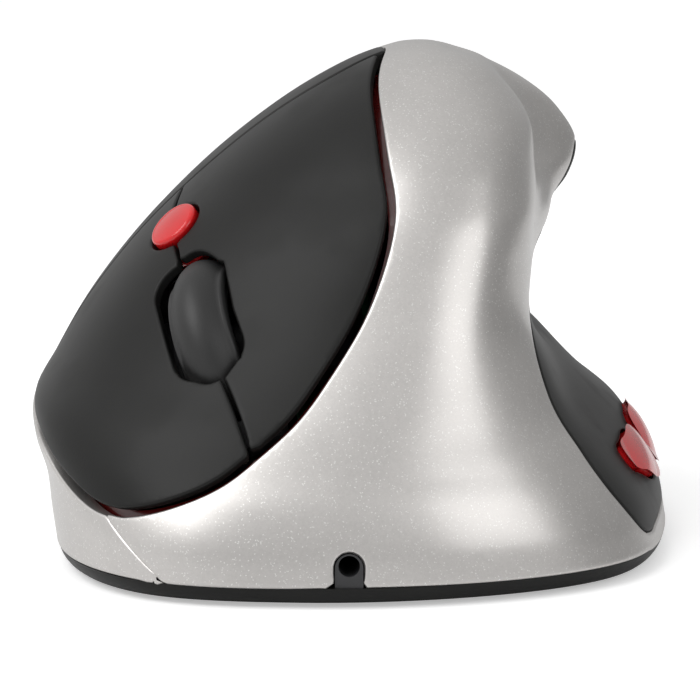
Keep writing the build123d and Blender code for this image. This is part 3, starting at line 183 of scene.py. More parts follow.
class MouseFinishes(bpy.types.PropertyGroup):
    """Colours of the finishes, in linear light."""

    silver: colour("Silver", "Metallic paint of the shell", (0.61, 0.59, 0.572))
    black: colour("Black", "Satin plastic of the keys and the thumb panel", (0.0095, 0.0095, 0.009))
    red: colour("Red", "Gloss plastic of the small buttons", (0.62, 0.01, 0.012))
    deep_red: colour("Deep red", "Frames that show in the gaps", (0.12, 0.008, 0.007))
    rubber: colour("Rubber", "Tyre of the wheel", (0.016, 0.016, 0.016))
    clear: colour("Clear", "Moulded lens and lamp", (0.9, 0.9, 0.88))
    floor: colour("Floor", "Studio floor", (0.86, 0.86, 0.86))


class MouseStage(bpy.types.PropertyGroup):
    """Camera and lamps of the studio."""

    lens: FloatProperty(name="Lens", description="Focal length in millimetres", default=173.6)
    distance: metres("Distance", "Camera's distance in front of the origin", 0.4471)
    camera_height: metres("Camera height", "Height over the table", 0.09263)
    aim_height: metres("Aim height", "Height that the camera looks at", 0.02394)
    key_power: FloatProperty(name="Key lamp", description="Power in watts", default=4.2)
    fill_power: FloatProperty(name="Fill lamp", description="Power in watts", default=1.6)
    room_light: FloatProperty(name="Room light", description="Strength of the light room",
                              default=0.75)


# Finishes seen from outside: the colour's property, roughness and its spread, size of the
# grain in metres, strength of its bumps, and other constants
SEEN_FINISHES = {
    "satin_black": ("black", 0.42, 0.06, 0.00035, 0.12, {"Specular IOR Level": 0.22}),
    "gloss_red": ("red", 0.16, 0.05, 0.0011, 0.02, {
        "Coat Weight": 0.35, "Coat Roughness": 0.04, "Specular IOR Level": 0.4}),
    "frame_red": ("deep_red", 0.22, 0.06, 0.0009, 0.05, {
        "Coat Weight": 0.5, "Coat Roughness": 0.08}),
    "wheel_rubber": ("rubber", 0.5, 0.06, 0.0003, 0.22, {}),
    "clear_lens": ("clear", 0.08, 0.06, 0.0008, 0.01, {"Transmission Weight": 0.9}),
}
# Plain finishes of the inside: colour, roughness, metal, size of the grain in metres
INNER_FINISHES = {
    "inner_plastic": ((0.028, 0.028, 0.03), 0.5, 0.0, 0.0006),
    "switch_body": ((0.012, 0.012, 0.014), 0.42, 0.0, 0.0004),
    "switch_stem": ((0.62, 0.6, 0.52), 0.4, 0.0, 0.0004),
    "board_green": ((0.012, 0.11, 0.045), 0.38, 0.0, 0.0012),
    "chip_black": ((0.02, 0.02, 0.022), 0.55, 0.0, 0.0003),
    "steel": ((0.5, 0.49, 0.47), 0.3, 1.0, 0.0005),
    "foot_glide": ((0.035, 0.035, 0.037), 0.3, 0.0, 0.0008),
    "ribbon_grey": ((0.32, 0.32, 0.33), 0.5, 0.0, 0.001),
}
INNER_SPREAD, INNER_BUMP = 0.06, 0.12

CREST_SHARES = (0.101, 0.032, 1.0)
# How square each corner of a station is: 2 is an ellipse, more is squarer
KEY_FULLNESS = np.array([2.6, 2.6, 2.5, 2.4, 2.3, 2.2, 2.1, 2.1, 2.1, 2.05] + [2.0] * 7)
OTHER_FULLNESS = np.array([2.15] * 10 + [2.1, 2.1] + [2.0] * 5)
CORNER_ANGLES = (math.radians(30), math.radians(60))


class Plane3:
    """A plane with an origin, two directions in it and its facing."""

    def __init__(self, origin, run, facing):
        self.origin = np.array(origin, float)
        self.z = np.array(facing, float) / np.linalg.norm(facing)
        self.x = np.array(run, float) - self.z * np.dot(run, self.z)
        self.x /= np.linalg.norm(self.x)
        self.y = np.cross(self.z, self.x)

    def local(self, points):
        """Coordinates of points along the plane's two directions and its facing."""
        away = points - self.origin
        return away @ self.x, away @ self.y, away @ self.z

    def world(self, u, v, w):
        """Points from coordinates along the plane's two directions and its facing."""
        u, v, w = np.broadcast_arrays(u, v, w)
        return (self.origin + u[..., None] * self.x + v[..., None] * self.y
                + w[..., None] * self.z)

    def moved(self, u, v, w, turn=0.0):
        """The plane at another point of its own coordinates, turned about its facing."""
        spot = self.world(u, v, w)
        run = self.x * math.cos(turn) + self.y * math.sin(turn)
        return Plane3(spot, run, self.z)


def cubic(t, span, start, end, leaving, arriving):
    """The cubic over a span from a start to an end, with its slopes there, at a share t."""
    return ((1 + 2 * t) * (1 - t) ** 2 * start + t * (1 - t) ** 2 * span * leaving
            + t * t * (3 - 2 * t) * end - t * t * (1 - t) * span * arriving)


def periodic_curves(knots, count):
    """Closed smooth curves, one per row of points, sampled at equal shares of their length.

    Cubic pieces between the points share slopes d that solve
    h1 d0 + 2 (h0 + h1) d1 + h0 d2 = 3 (h1 step0 / h0 + h0 step1 / h1), h being the distances.
    """
    ahead = np.roll(knots, -1, 1) - knots
    span = np.linalg.norm(ahead, axis=2)
    back = np.roll(span, 1, 1)
    rows, points = span.shape
    system = np.zeros((rows, points, points))
    place = np.arange(points)
    system[:, place, place] = 2 * (span + back)
    system[:, place, place - 1] = span
    system[:, place, (place + 1) % points] = back
    right = 3 * (span[..., None] * np.roll(ahead, 1, 1) / back[..., None]
                 + back[..., None] * ahead / span[..., None])
    slope = np.linalg.solve(system, right)
    ends = np.cumsum(span, 1)
    travel = np.arange(count)[None] / count * ends[:, -1:]
    piece = np.minimum((travel[:, :, None] >= ends[:, None, :]).sum(2), points - 1)

    def at(values):
        return np.take_along_axis(values, piece[..., None], 1)

    h = np.take_along_axis(span, piece, 1)[..., None]
    t = (travel[..., None] - at((ends - span)[..., None])) / h
    return cubic(t, h, at(knots), at(np.roll(knots, -1, 1)), at(slope),
                 at(np.roll(slope, -1, 1)))


def curve_at(knots, slopes, spans, travel):
    """Points at distances along the cubic pieces that join knots with slopes, spans apart."""
    places = np.concatenate([[0], np.cumsum(spans)])
    piece = np.clip(np.searchsorted(places, travel, "right") - 1, 0, len(spans) - 1)
    shape = (-1,) + (1,) * (knots.ndim - 1)
    h = spans[piece].reshape(shape)
    t = (travel - places[piece]).reshape(shape) / h
    return cubic(t, h, knots[piece], knots[piece + 1], slopes[piece], slopes[piece + 1])


def open_curve(knots, count):
    """A smooth curve through points, its ends straight: the closed curve's equations for an
    open row, with 2 d0 + d1 = 3 step / h at each end."""
    step = np.diff(knots, axis=0)
    h = np.linalg.norm(step, axis=1)
    points = len(knots)
    system = np.zeros((points, points))
    right = np.zeros_like(knots)
    system[0, :2] = system[-1, :-3:-1] = 2, 1
    right[0], right[-1] = 3 * step[0] / h[0], 3 * step[-1] / h[-1]
    inner = np.arange(1, points - 1)
    system[inner, inner - 1] = h[1:]
    system[inner, inner] = 2 * (h[:-1] + h[1:])
    system[inner, inner + 1] = h[:-1]
    right[1:-1] = 3 * (h[1:, None] * step[:-1] / h[:-1, None]
                       + h[:-1, None] * step[1:] / h[1:, None])
    return curve_at(knots, np.linalg.solve(system, right), h,
                    np.linspace(0, np.cumsum(h)[-1], count))


def inside_distance(u, v, outline):
    """Distance from points to a closed outline: positive inside it, negative outside.

    The least distance to the outline's sides, signed by how often a level ray crosses them.
    """
    shape = u.shape
    start, end = outline, np.roll(outline, -1, 0)
    side = end - start
    result = []
    for near in range(0, u.size, BATCH):
        a = u.ravel()[near:near + BATCH, None]
        b = v.ravel()[near:near + BATCH, None]
        du, dv = a - start[:, 0], b - start[:, 1]
        share = np.clip((du * side[:, 0] + dv * side[:, 1]) / (side ** 2).sum(1), 0, 1)
        away = (du - share * side[:, 0]) ** 2 + (dv - share * side[:, 1]) ** 2
        crosses = (start[:, 1] > b) != (end[:, 1] > b)
        level = np.where(side[:, 1] == 0, 1, side[:, 1])
        meets = a < start[:, 0] + dv / level * side[:, 0]
        odd = (crosses & meets).sum(1) % 2
        result.append(np.sqrt(away.min(1)) * np.where(odd == 1, 1, -1))
    return np.concatenate(result).reshape(shape)


def rings_of_stations(sizes):
    """The 14 points of each station and of the crest: ends, sides and rounded corners.

    A corner point between an end and a side follows a superellipse of the station's fullness.
    """
    scale = {"x": sizes.width, "y": sizes.length, "t": sizes.height}
    at = {name: np.array(shares) / 1000 * scale[name[-1]] for name, shares in STATIONS.items()}

    front, back, left, nose, hollow, fin = (
        np.stack([at[name + "_x"], at[name + "_y"]], 1)
        for name in ("front", "back", "left", "nose", "hollow", "fin"))

    def corner(end, side, fullness):
        points = []
        for turn in CORNER_ANGLES:
            over, along = math.sin(turn) ** (2 / fullness), math.cos(turn) ** (2 / fullness)
            points.append(np.stack([end[:, 0] + (side[:, 0] - end[:, 0]) * over,
                                    side[:, 1] + (end[:, 1] - side[:, 1]) * along], 1))
        return points

    loop = ([front] + corner(front, nose, OTHER_FULLNESS) + [nose, hollow, fin]
            + corner(back, fin, OTHER_FULLNESS)[::-1] + [back]
            + corner(back, left, OTHER_FULLNESS) + [left]
            + corner(front, left, KEY_FULLNESS)[::-1])
    flat = np.stack(loop, 1)
    height = np.broadcast_to(at["station_height"][:, None, None], flat.shape[:2] + (1,))
    rings = np.concatenate([flat, height], 2)
    crest = np.array(CREST_SHARES) * (sizes.width, sizes.length, sizes.height)
    return np.concatenate([rings, np.broadcast_to(crest, (1,) + rings.shape[1:])])


def body_surface(sizes):
    """The smooth body as a grid of points: rows go up, columns go round.

    Each of the ring points rises on a cubic curve through the stations, and each row of the
    grid is a closed smooth curve through its 14 points.
    """
    rings = rings_of_stations(sizes)
    spans = np.linalg.norm(np.diff(rings, axis=0), axis=2).mean(1)
    steps = np.diff(rings, axis=0) / spans[:, None, None]
    weight = (spans[:-1] / (spans[:-1] + spans[1:]))[:, None, None]
    flat_top = steps[-1:] * (1, 1, 0)
    slopes = np.concatenate([steps[:1], steps[:-1] * (1 - weight) + steps[1:] * weight, flat_top])
    travel = np.linspace(-ROWS_START * sizes.edge, np.cumsum(spans)[-1] * ROWS_STOP, sizes.rows)
    knots = curve_at(rings, slopes, spans, travel)
    under = travel < 0
    knots[under] = rings[0] + slopes[0] * travel[under][:, None, None]
    return periodic_curves(knots, sizes.columns)


def grid_steps(grid):
    """Steps of a grid's values along its columns, which go round, and along its rows."""
    return (np.roll(grid, -1, 1) - np.roll(grid, 1, 1)) / 2, np.gradient(grid, axis=0)


class Body:
    """The body's surface with the planes and distances that trim its skins."""

    def __init__(self, sizes):
        scale = np.array([sizes.width, sizes.length, sizes.height])
        self.sizes = sizes
        self.points = body_surface(sizes)
        self.across, self.upward = grid_steps(self.points)
        self.normal = np.cross(self.across, self.upward)
        self.normal /= np.linalg.norm(self.normal, axis=2, keepdims=True)
        self.slope = Plane3(SLOPE_PLACE * scale, SLOPE_RUN, SLOPE_FACING)
        self.deck = Plane3(DECK_PLACE * scale, DECK_RUN, DECK_FACING)
        self.side = Plane3(SIDE_PLACE, SIDE_RUN, SIDE_FACING)
        self.crease = Plane3(CREASE_PLACE * scale, (0, 1, 0), CREASE_FACING)
        frame_size = np.array([sizes.slope_length, sizes.slope_height])
        u, v, w = self.slope.local(self.points)
        x, y, z = self.points[..., 0], self.points[..., 1], self.points[..., 2]
        opening = periodic_curves((OPENING_SHARES * frame_size)[None], OPENING_POINTS)[0]
        inside = inside_distance(u, v, opening)
        self.opening = np.minimum.reduce([inside, OPENING_LIMIT - x, w + SLOPE_DEPTH])
        far = 3 * sizes.slope_length
        groove = open_curve(GROOVE_SHARES * frame_size, GROOVE_POINTS)
        corners = [(groove[-1, 0], -far), (-far, -far), (-far, far), (groove[0, 0], far)]
        self.rear = inside_distance(u, v, np.concatenate([groove, corners]))
        seam = open_curve(SEAM_SHARES * frame_size, SEAM_POINTS)
        corners = [(seam[-1, 0], far), (-far, far), (-far, seam[0, 1])]
        self.upper = inside_distance(u, v, np.concatenate([seam, corners]))
        thumb = THUMB_SHARES * (THUMB_LENGTH, THUMB_HEIGHT)
        thumb = periodic_curves(thumb[None], THUMB_POINTS)[0]
        self.thumb = np.minimum(inside_distance(y, z, thumb), x - THUMB_NEAR)
        self.above_base = z - STATIONS["station_height"][0] / 1000 * sizes.height
        notch = np.hypot(x - NOTCH_X, np.maximum(z - NOTCH_MIDDLE, 0)) - NOTCH_HALF
        self.notch = np.where(y < 0, notch, 1.0)
        self.crease_height = self.crease.local(self.points)[2]
        slot_plane = self.deck.moved(SLOT_RUN, SLOT_SIDE, 0, SLOT_TILT)
        a, b, c = slot_plane.local(self.points)
        out_a = np.abs(a) - sizes.slot_length / 2 + SLOT_CORNER
        out_b = np.abs(b) - sizes.slot_width / 2 + SLOT_CORNER
        slot = (np.hypot(np.maximum(out_a, 0), np.maximum(out_b, 0))
                + np.minimum(np.maximum(out_a, out_b), 0) - SLOT_CORNER)
        under = self.points - self.normal * sizes.key_wall
        wheel = np.minimum(self.off_wheel(self.points), self.off_wheel(under))
        self.slot = np.where(c > 0, np.minimum(slot, wheel), 1.0)
        self.oval = self.deck.moved(DPI_RUN, DPI_SIDE, 0)
        a, b, c = self.oval.local(self.points)
        self.hole = np.where(c > 0, -inside_distance(a, b, oval_outline(sizes, DPI_GAP)), 1.0)
        a, b, c = self.side.local(self.points)
        near = np.abs(c) < sizes.slope_height / 4
        self.buttons = [np.where(near, -inside_distance(a, b, line), 1.0)
                        for line in (side_outline(1), side_outline(-1))]

    def off_wheel(self, points):
        """How far points lie from the crowned wheel, less the room for the keys' travel."""
        u, v, w = self.deck.local(points)
        half = self.sizes.wheel_width / 2
        rim = self.sizes.wheel_radius - self.sizes.wheel_crown * np.clip(v / half, -1, 1) ** 2
        return np.maximum(np.hypot(u - SLOT_RUN, w) - rim, np.abs(v) - half) - TRAVEL_GAP

    def lift(self, plane, u, v, reach):
        """Height of the surface over points of a plane: the tangent planes of the nearest
        grid points, weighted by a bell curve of their distance."""
        a, b, c = plane.local(self.points)
        facing = self.normal @ plane.z
        usable = (np.abs(c) < reach) & (np.hypot(a, b) < 2 * reach) & (facing > LEAST_FACING)
        spots = np.stack([a[usable], b[usable], c[usable]], 1)
        normals = self.normal[usable]
        tilt = np.stack([normals @ plane.x, normals @ plane.y], 1) / (normals @ plane.z)[:, None]
        ask = np.stack([np.ravel(u), np.ravel(v)], 1)
        away = ((ask[:, None, :] - spots[None, :, :2]) ** 2).sum(2)
        nearest = np.argsort(away, 1)[:, :LIFT_POINTS]
        part = np.take_along_axis(away, nearest, 1)
        weight = np.exp(-part / (2 * LIFT_SPREAD ** 2)) + 1e-9
        shift = ask[:, None, :] - spots[nearest][:, :, :2]
        height = spots[nearest][:, :, 2] - (tilt[nearest] * shift).sum(2)
        return ((height * weight).sum(1) / weight.sum(1)).reshape(np.shape(u))


def oval_outline(sizes, extra):
    """The resolution button's oval, widened by an extra: an ellipse turned in the deck."""
    turn = np.linspace(0, 2 * math.pi, OVAL_POINTS, endpoint=False)
    a = (sizes.dpi_width / 2 + extra) * np.cos(turn)
    b = (sizes.dpi_length / 2 + extra) * np.sin(turn)
    c, s = math.cos(DPI_TURN), math.sin(DPI_TURN)
    return np.stack([a * c - b * s, a * s + b * c], 1)


def side_outline(mirror):
    """A side button's teardrop, as a closed smooth curve; -1 mirrors it for the rear one."""
    knots = FORWARD_SHARES * (SIDE_BUTTON_LENGTH * mirror, SIDE_BUTTON_HEIGHT)
    return periodic_curves(knots[::mirror][None], BUTTON_POINTS)[0]


def cell_walks():
    """For each pattern of inside corners: the polygon's corners and sides, and its cut.

    A cell's corners go round it, and side k joins corner k to corner k + 1.
    """
    walks = {}
    for mask in range(1, 16):
        walk, cut = [], [None, None]
        for k in range(4):
            here, there = mask >> k & 1, mask >> (k + 1) % 4 & 1
            if here:
                walk.append(("corner", k))
            if here != there:
                walk.append(("side", k))
                cut[0 if here else 1] = k
        walks[mask] = (walk, cut if None not in cut else None)
    return walks


def trimmed_skin(name, body, distance, wall):
    """A closed skin of the body where a distance is positive, with rounded edges.

    The distance is divided by its own steepness on the surface.  Cells of the grid that it
    crosses are cut there, the edge turns down on a quarter circle, and the inner side is the
    same grid moved in by the wall along its normals.
    """
    edge = body.sizes.edge
    p, n, pt, ps = body.points, body.normal, body.across, body.upward
    rows, columns = distance.shape
    ft, fs = grid_steps(distance)
    e, f, g = (pt * pt).sum(2), (pt * ps).sum(2), (ps * ps).sum(2)
    grad = ((g * ft - f * fs)[..., None] * pt + (e * fs - f * ft)[..., None] * ps)
    grad /= np.maximum(e * g - f * f, 1e-18)[..., None]
    steep = np.linalg.norm(grad, axis=2)
    level = (distance / np.clip(steep, LEAST_STEEPNESS, 1.0) - edge).ravel()
    level[np.abs(level) < 1e-9] = 1e-9
    outward = -grad / np.maximum(steep, 1e-6)[..., None]
    kept = level > 0

    def crossing(first, second):
        """Numbers of the sides that are cut, and what lies there, in line between corners."""
        number = np.full(rows * columns, -1)
        cut = np.flatnonzero(kept[first] != kept[second])
        a, b = first[cut], second[cut]
        share = (level[a] / (level[a] - level[b]))[:, None]
        mixed = [q.reshape(-1, 3)[a] * (1 - share) + q.reshape(-1, 3)[b] * share
                 for q in (p, n, outward)]
        number[a] = np.arange(len(cut))
        return number, mixed

    index = np.arange(rows * columns).reshape(rows, columns)
    right = np.roll(index, -1, 1)
    corners = [grid.ravel() for grid in (index[:-1], right[:-1], right[1:], index[1:])]
    level_number, level_mix = crossing(index.ravel(), right.ravel())
    rise_number, rise_mix = crossing(corners[0], corners[3])
    level_number += rows * columns
    rise_number += rows * columns + len(level_mix[0])
    sides = [level_number[corners[0]], rise_number[corners[1]],
             level_number[corners[3]], rise_number[corners[0]]]
    mask = sum(kept[c].astype(int) << k for k, c in enumerate(corners))
    polygons, cuts = [], []
    for value, (walk, cut) in cell_walks().items():
        cells = np.flatnonzero(mask == value)
        if not len(cells):
            continue
        polygons.append(np.stack([(corners if kind == "corner" else sides)[k][cells]
                                  for kind, k in walk], 1))
        if cut:
            cuts.append(np.stack([sides[cut[0]][cells], sides[cut[1]][cells]], 1))
    cuts = np.concatenate(cuts)
    place, facing, out = (np.concatenate([whole.reshape(-1, 3), level_part, rise_part])
                          for whole, level_part, rise_part
                          in zip((p, n, outward), level_mix, rise_mix))
    if kept[-columns:].all():
        top = len(place)
        place = np.concatenate([place, p[-1].mean(0)[None]])
        facing = np.concatenate([facing, [[0, 0, 1]]])
        out = np.concatenate([out, [[0, 0, 0]]])
        last = index[-1]
        polygons.append(np.stack([last, np.roll(last, -1), np.full(columns, top)], 1))
    rim = np.unique(cuts)
    spot, up, away = place[rim], facing[rim], out[rim]
    up /= np.linalg.norm(up, axis=1, keepdims=True)
    away -= up * (away * up).sum(1, keepdims=True)
    away /= np.maximum(np.linalg.norm(away, axis=1, keepdims=True), 1e-6)
    layers = [spot + away * edge * math.sin(a) - up * edge * (1 - math.cos(a))
              for a in EDGE_TURNS]
    layers.append(spot + away * edge - up * (wall - edge / 2))
    used = np.unique(np.concatenate([q.ravel() for q in polygons]))
    renumber = np.full(len(place), -1)
    renumber[used] = np.arange(len(used))
    rim_number = np.full(len(place), -1)
    rim_number[rim] = np.arange(len(rim))
    inner_start = len(used)
    rim_start = 2 * len(used)
    inner = place[used] - facing[used] * wall
    vertices = np.concatenate([place[used], inner] + layers)
    faces = []
    for q in polygons:
        faces += renumber[q].tolist() + (renumber[q][:, ::-1] + inner_start).tolist()
    outer = renumber[cuts]
    ring = ([outer] + [rim_start + layer * len(rim) + rim_number[cuts]
                       for layer in range(len(layers))] + [outer + inner_start])
    for upper, lower in zip(ring, ring[1:]):
        faces += np.concatenate([upper[:, ::-1], lower], 1).tolist()
    return mesh_piece(name, vertices, faces)


def mesh_piece(name, vertices, faces):
    """A shown object at the origin from points and faces, smooth but for sharp edges."""
    mesh = bpy.data.meshes.new(name)
    mesh.from_pydata(vertices, [], faces)
    mesh.validate()
    mesh.polygons.foreach_set("use_smooth", np.ones(len(mesh.polygons), bool))
    mesh.set_sharp_from_angle(angle=SHARP_ANGLE)
    mesh.update()
    piece = bpy.data.objects.new(name, mesh)
    bpy.context.scene.collection.objects.link(piece)
    return piece


def ring_faces(start, rows, columns, loop=False):
    """Faces between rows of points that go round; a loop joins the last row to the first."""
    here = start + np.arange(rows * columns).reshape(rows, columns)
    sides = np.stack([here, np.roll(here, -1, 1)], 2)
    faces = np.concatenate([np.roll(sides, -1, 0), sides[:, :, ::-1]], 2)
    return faces[:rows if loop else rows - 1].reshape(-1, 4).tolist()


def capped_faces(rows, columns):
    """Faces of rows that go round between a first and a last point, with a fan at each."""
    ring = np.arange(columns)
    ahead = (ring + 1) % columns
    tail = 1 + (rows - 1) * columns
    first = np.stack([1 + ring, 1 + ahead, np.zeros(columns, int)], 1)
    last = np.stack([np.full(columns, tail + columns), tail + ahead, tail + ring], 1)
    return ring_faces(1, rows, columns) + first.tolist() + last.tolist()


def button_piece(name, plane, outline, lift, edge, skirt):
    """A button: a polar grid over its outline, a rounded edge, and a skirt of given rows.

    Rows shrink the outline towards its middle, lifted by the top's height; the edge is a
    quarter circle; each skirt row is (how far out of the outline, height over the plane).
    """
    ahead = np.roll(outline, -1, 0) - np.roll(outline, 1, 0)
    outward = np.stack([ahead[:, 1], -ahead[:, 0]], 1)
    outward /= np.linalg.norm(outward, axis=1, keepdims=True)
    brim, middle = outline - outward * edge, outline.mean(0)
    rim_height = lift(*brim.T)
    rows = [(middle[None], lift(*middle[:, None]))]
    for share in np.sin(np.linspace(CAP_START, 1, CAP_ROWS) * math.pi / 2):
        flat = middle + (brim - middle) * share
        rows.append((flat, lift(*flat.T)))
    for turn in CAP_TURNS:
        rows.append((brim + outward * edge * math.sin(turn),
                     rim_height - edge * (1 - math.cos(turn))))
    for extra, height in skirt:
        low = height if height is not None else rim_height - 2 * edge
        rows.append((outline + outward * extra, low))
    rows.append((middle[None], skirt[-1][1]))
    points = np.concatenate([plane.world(*flat.T, height) for flat, height in rows])
    return mesh_piece(name, points, capped_faces(len(rows) - 2, len(outline)))


def turned_piece(name, plane, profile, steps):
    """A closed profile of (distance along, radius) turned about a plane's second direction."""
    turn = np.linspace(0, 2 * math.pi, steps, endpoint=False)
    along, radius = profile[:, 0, None], profile[:, 1, None]
    points = plane.world(radius * np.cos(turn), along, radius * np.sin(turn)).reshape(-1, 3)
    return mesh_piece(name, points, ring_faces(0, len(profile), steps, loop=True))


def new_group(name, inputs, outputs):
    """An empty shader group with named inputs and outputs, all numbers: the group, the
    sockets that its inputs come from, and its output node."""
    tree = bpy.data.node_groups.new(name, "ShaderNodeTree")
    for label, value in inputs.items():
        tree.interface.new_socket(name=label, in_out="INPUT",
                                  socket_type="NodeSocketFloat").default_value = value
    for label in outputs:
        tree.interface.new_socket(name=label, in_out="OUTPUT", socket_type="NodeSocketFloat")
    return tree, tree.nodes.new("NodeGroupInput").outputs, tree.nodes.new("NodeGroupOutput")


def fill(made, inputs):
    """Gives a node's inputs their values, or links from the sockets of other nodes."""
    for label, value in inputs.items():
        if isinstance(value, bpy.types.NodeSocket):
            made.id_data.links.new(value, made.inputs[label])
        else:
            made.inputs[label].default_value = value


def node(tree, kind, inputs=None, **settings):
    """A shader node with its settings and inputs."""
    made = tree.nodes.new("ShaderNode" + kind)
    for label, value in settings.items():
        setattr(made, label, value)
    fill(made, inputs or {})
    return made


def worked_out(tree, operation, first, second):
    """What a Math node makes of two values."""
    return node(tree, "Math", {0: first, 1: second}, operation=operation).outputs[0]


def ranged(tree, value, low, high, start=0.0, end=1.0, **settings):
    """A value that goes from low to high while another one goes from start to end."""
    return node(tree, "MapRange", {"Value": value, "From Min": start, "From Max": end,
                                   "To Min": low, "To Max": high}, **settings).outputs["Result"]


def grain_group():
    """Moulded grain: fine bumps over slow waves, and a slow mask of hand wear."""
    tree, given, made = new_group("Moulded grain", {"Fineness": 2500.0, "Waves": 90.0},
                                  ("Height", "Shade", "Wear"))
    place = node(tree, "TexCoord").outputs["Object"]
    fine = node(tree, "TexNoise", {"Vector": place, "Scale": given["Fineness"], "Detail": 2.0,
                                   "Roughness": 0.55})
    waves = node(tree, "TexNoise", {"Vector": place, "Scale": given["Waves"],
                                    "Detail": 3.0}).outputs["Fac"]
    wear = ranged(tree, waves, 0.0, 1.0, 0.45, 0.75, interpolation_type="SMOOTHSTEP")
    fill(made, {"Height": fine.outputs["Fac"], "Wear": wear,
                "Shade": ranged(tree, waves, 0.82, 1.12, 0.3, 0.7)})
    return tree


def flake_group():
    """Paint flakes: cells of two sizes with a random tone each, and a few bright ones."""
    tree, given, made = new_group("Paint flakes", {"Fineness": 7500.0, "Bright share": 0.035},
                                  ("Tone", "Sparkle", "Height"))
    place = node(tree, "TexCoord").outputs["Object"]
    parts = []
    for scale in (given["Fineness"], worked_out(tree, "MULTIPLY", given["Fineness"], 0.43)):
        cells = node(tree, "TexVoronoi", {"Vector": place, "Scale": scale, "Randomness": 1.0})
        parts.append(node(tree, "SeparateColor", {"Color": cells.outputs["Color"]}).outputs)
    small, large = parts
    both = worked_out(tree, "ADD", small[0], large[1])
    limit = worked_out(tree, "SUBTRACT", 1.0, given["Bright share"])
    fill(made, {"Tone": worked_out(tree, "MULTIPLY", both, 0.5), "Height": small[2],
                "Sparkle": worked_out(tree, "GREATER_THAN", small[1], limit)})
    return tree


def shared(tree, name, build):
    """A node of a shader group, which is made once and then used again."""
    return node(tree, "Group", node_tree=bpy.data.node_groups.get(name) or build())


def finish_start(name):
    """A material with its shader and its grain group in place."""
    material = bpy.data.materials.new(name)
    material.use_nodes = True
    tree = material.node_tree
    tree.nodes.clear()
    shader = node(tree, "BsdfPrincipled")
    node(tree, "OutputMaterial", {"Surface": shader.outputs[0]}, is_active_output=True)
    return material, tree, shader, shared(tree, "Moulded grain", grain_group)


def toned(tree, value, factor, spread=1.0):
    """A colour times a shade that changes over the surface."""
    return node(tree, "Mix", {0: spread, 6: (*value, 1), 7: factor}, data_type="RGBA",
                blend_type="MULTIPLY").outputs[2]


def relief(tree, height, strength, distance):
    """The normals of small bumps."""
    return node(tree, "Bump", {"Height": height, "Strength": strength,
                               "Distance": distance}).outputs["Normal"]


def plastic(name, value, roughness, spread, grain_size, bump, constants):
    """Moulded plastic: tone and roughness that drift, fine bumps, and other constants."""
    material, tree, shader, grain = finish_start(name)
    fill(grain, {"Fineness": 1 / grain_size})
    shade, wear, height = (grain.outputs[label] for label in ("Shade", "Wear", "Height"))
    fill(shader, {"Base Color": toned(tree, value, shade),
                  "Roughness": ranged(tree, wear, roughness - spread / 2, roughness + spread),
                  "Normal": relief(tree, height, bump, grain_size / 4), **constants})
    return material


def flake_paint(name, value):
    """Silver paint: flakes of random tone under a clear coat, a few of them bright."""
    material, tree, shader, grain = finish_start(name)
    fill(grain, {"Waves": 45.0})
    flakes = shared(tree, "Paint flakes", flake_group).outputs
    tone = ranged(tree, flakes["Tone"], 0.9, 1.1)
    drift = worked_out(tree, "MULTIPLY", tone, grain.outputs["Shade"])
    paint = node(tree, "Mix", {0: flakes["Sparkle"], 6: toned(tree, value, drift, 0.5),
                               7: SPARK_COLOUR}, data_type="RGBA")
    fill(shader, {"Base Color": paint.outputs[2], "Metallic": 0.85, "Coat Weight": 0.35,
                  "Coat Roughness": 0.12, "Roughness": ranged(tree, flakes["Tone"], 0.3, 0.36),
                  "Normal": relief(tree, flakes["Height"], 0.05, 0.00003)})
    return material


def finish(slot):
    """The finish of one of the record's material slots, made at its first use."""
    name = "mouse_" + slot
    made = bpy.data.materials.get(name)
    if made:
        return made
    looks = bpy.context.scene.mouse_finishes
    if slot == "silver_paint":
        return flake_paint(name, looks.silver)
    if slot in SEEN_FINISHES:
        label, *rest = SEEN_FINISHES[slot]
        return plastic(name, getattr(looks, label), *rest)
    value, roughness, metal, grain_size = INNER_FINISHES[slot]
    return plastic(name, value, roughness, INNER_SPREAD, grain_size, INNER_BUMP,
                   {"Metallic": metal})


def dress(piece, slot, body, *nodes):
    """Gives a new piece its finish and its body, and hides the solids that it stands for."""
    piece.data.materials.append(finish(slot))
    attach(piece, body)
    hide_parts(*nodes)


_kept = {}


class PieceMaker:
    """Runs an operator's build with the sizes and the body, which is worked out once."""

    def execute(self, context):
        sizes = context.scene.mouse_sizes
        if "body" not in _kept:
            _kept["body"] = Body(sizes)
        self.build(sizes, _kept["body"])
        return {"FINISHED"}


class MOUSE_OT_silver_shell(PieceMaker, bpy.types.Operator):
    """Trims the painted front and rear skins from the body"""
    bl_idname = "mouse.silver_shell"
    bl_label = "Silver shell"

    def build(self, sizes, body):
        open_air = np.minimum.reduce([-body.opening, -body.thumb, body.notch, body.above_base])
        hair = CREASE_OVERLAP * sizes.edge
        for name, side in (("front", 1), ("rear", -1)):
            distance = np.minimum(open_air, side * body.crease_height + hair)
            piece = trimmed_skin(name + "_skin", body, distance, sizes.shell_wall)
            dress(piece, "silver_paint", "housing", name + "_shell")


class MOUSE_OT_palm_rest(PieceMaker, bpy.types.Operator):
    """Trims the dark skin behind the keys"""
    bl_idname = "mouse.palm_rest"
    bl_label = "Palm rest"

    def build(self, sizes, body):
        distance = np.minimum(body.opening - sizes.fixed_gap, body.rear)
        piece = trimmed_skin("palm_skin", body, distance, sizes.shell_wall)
        dress(piece, "satin_black", "housing", "palm_rest")


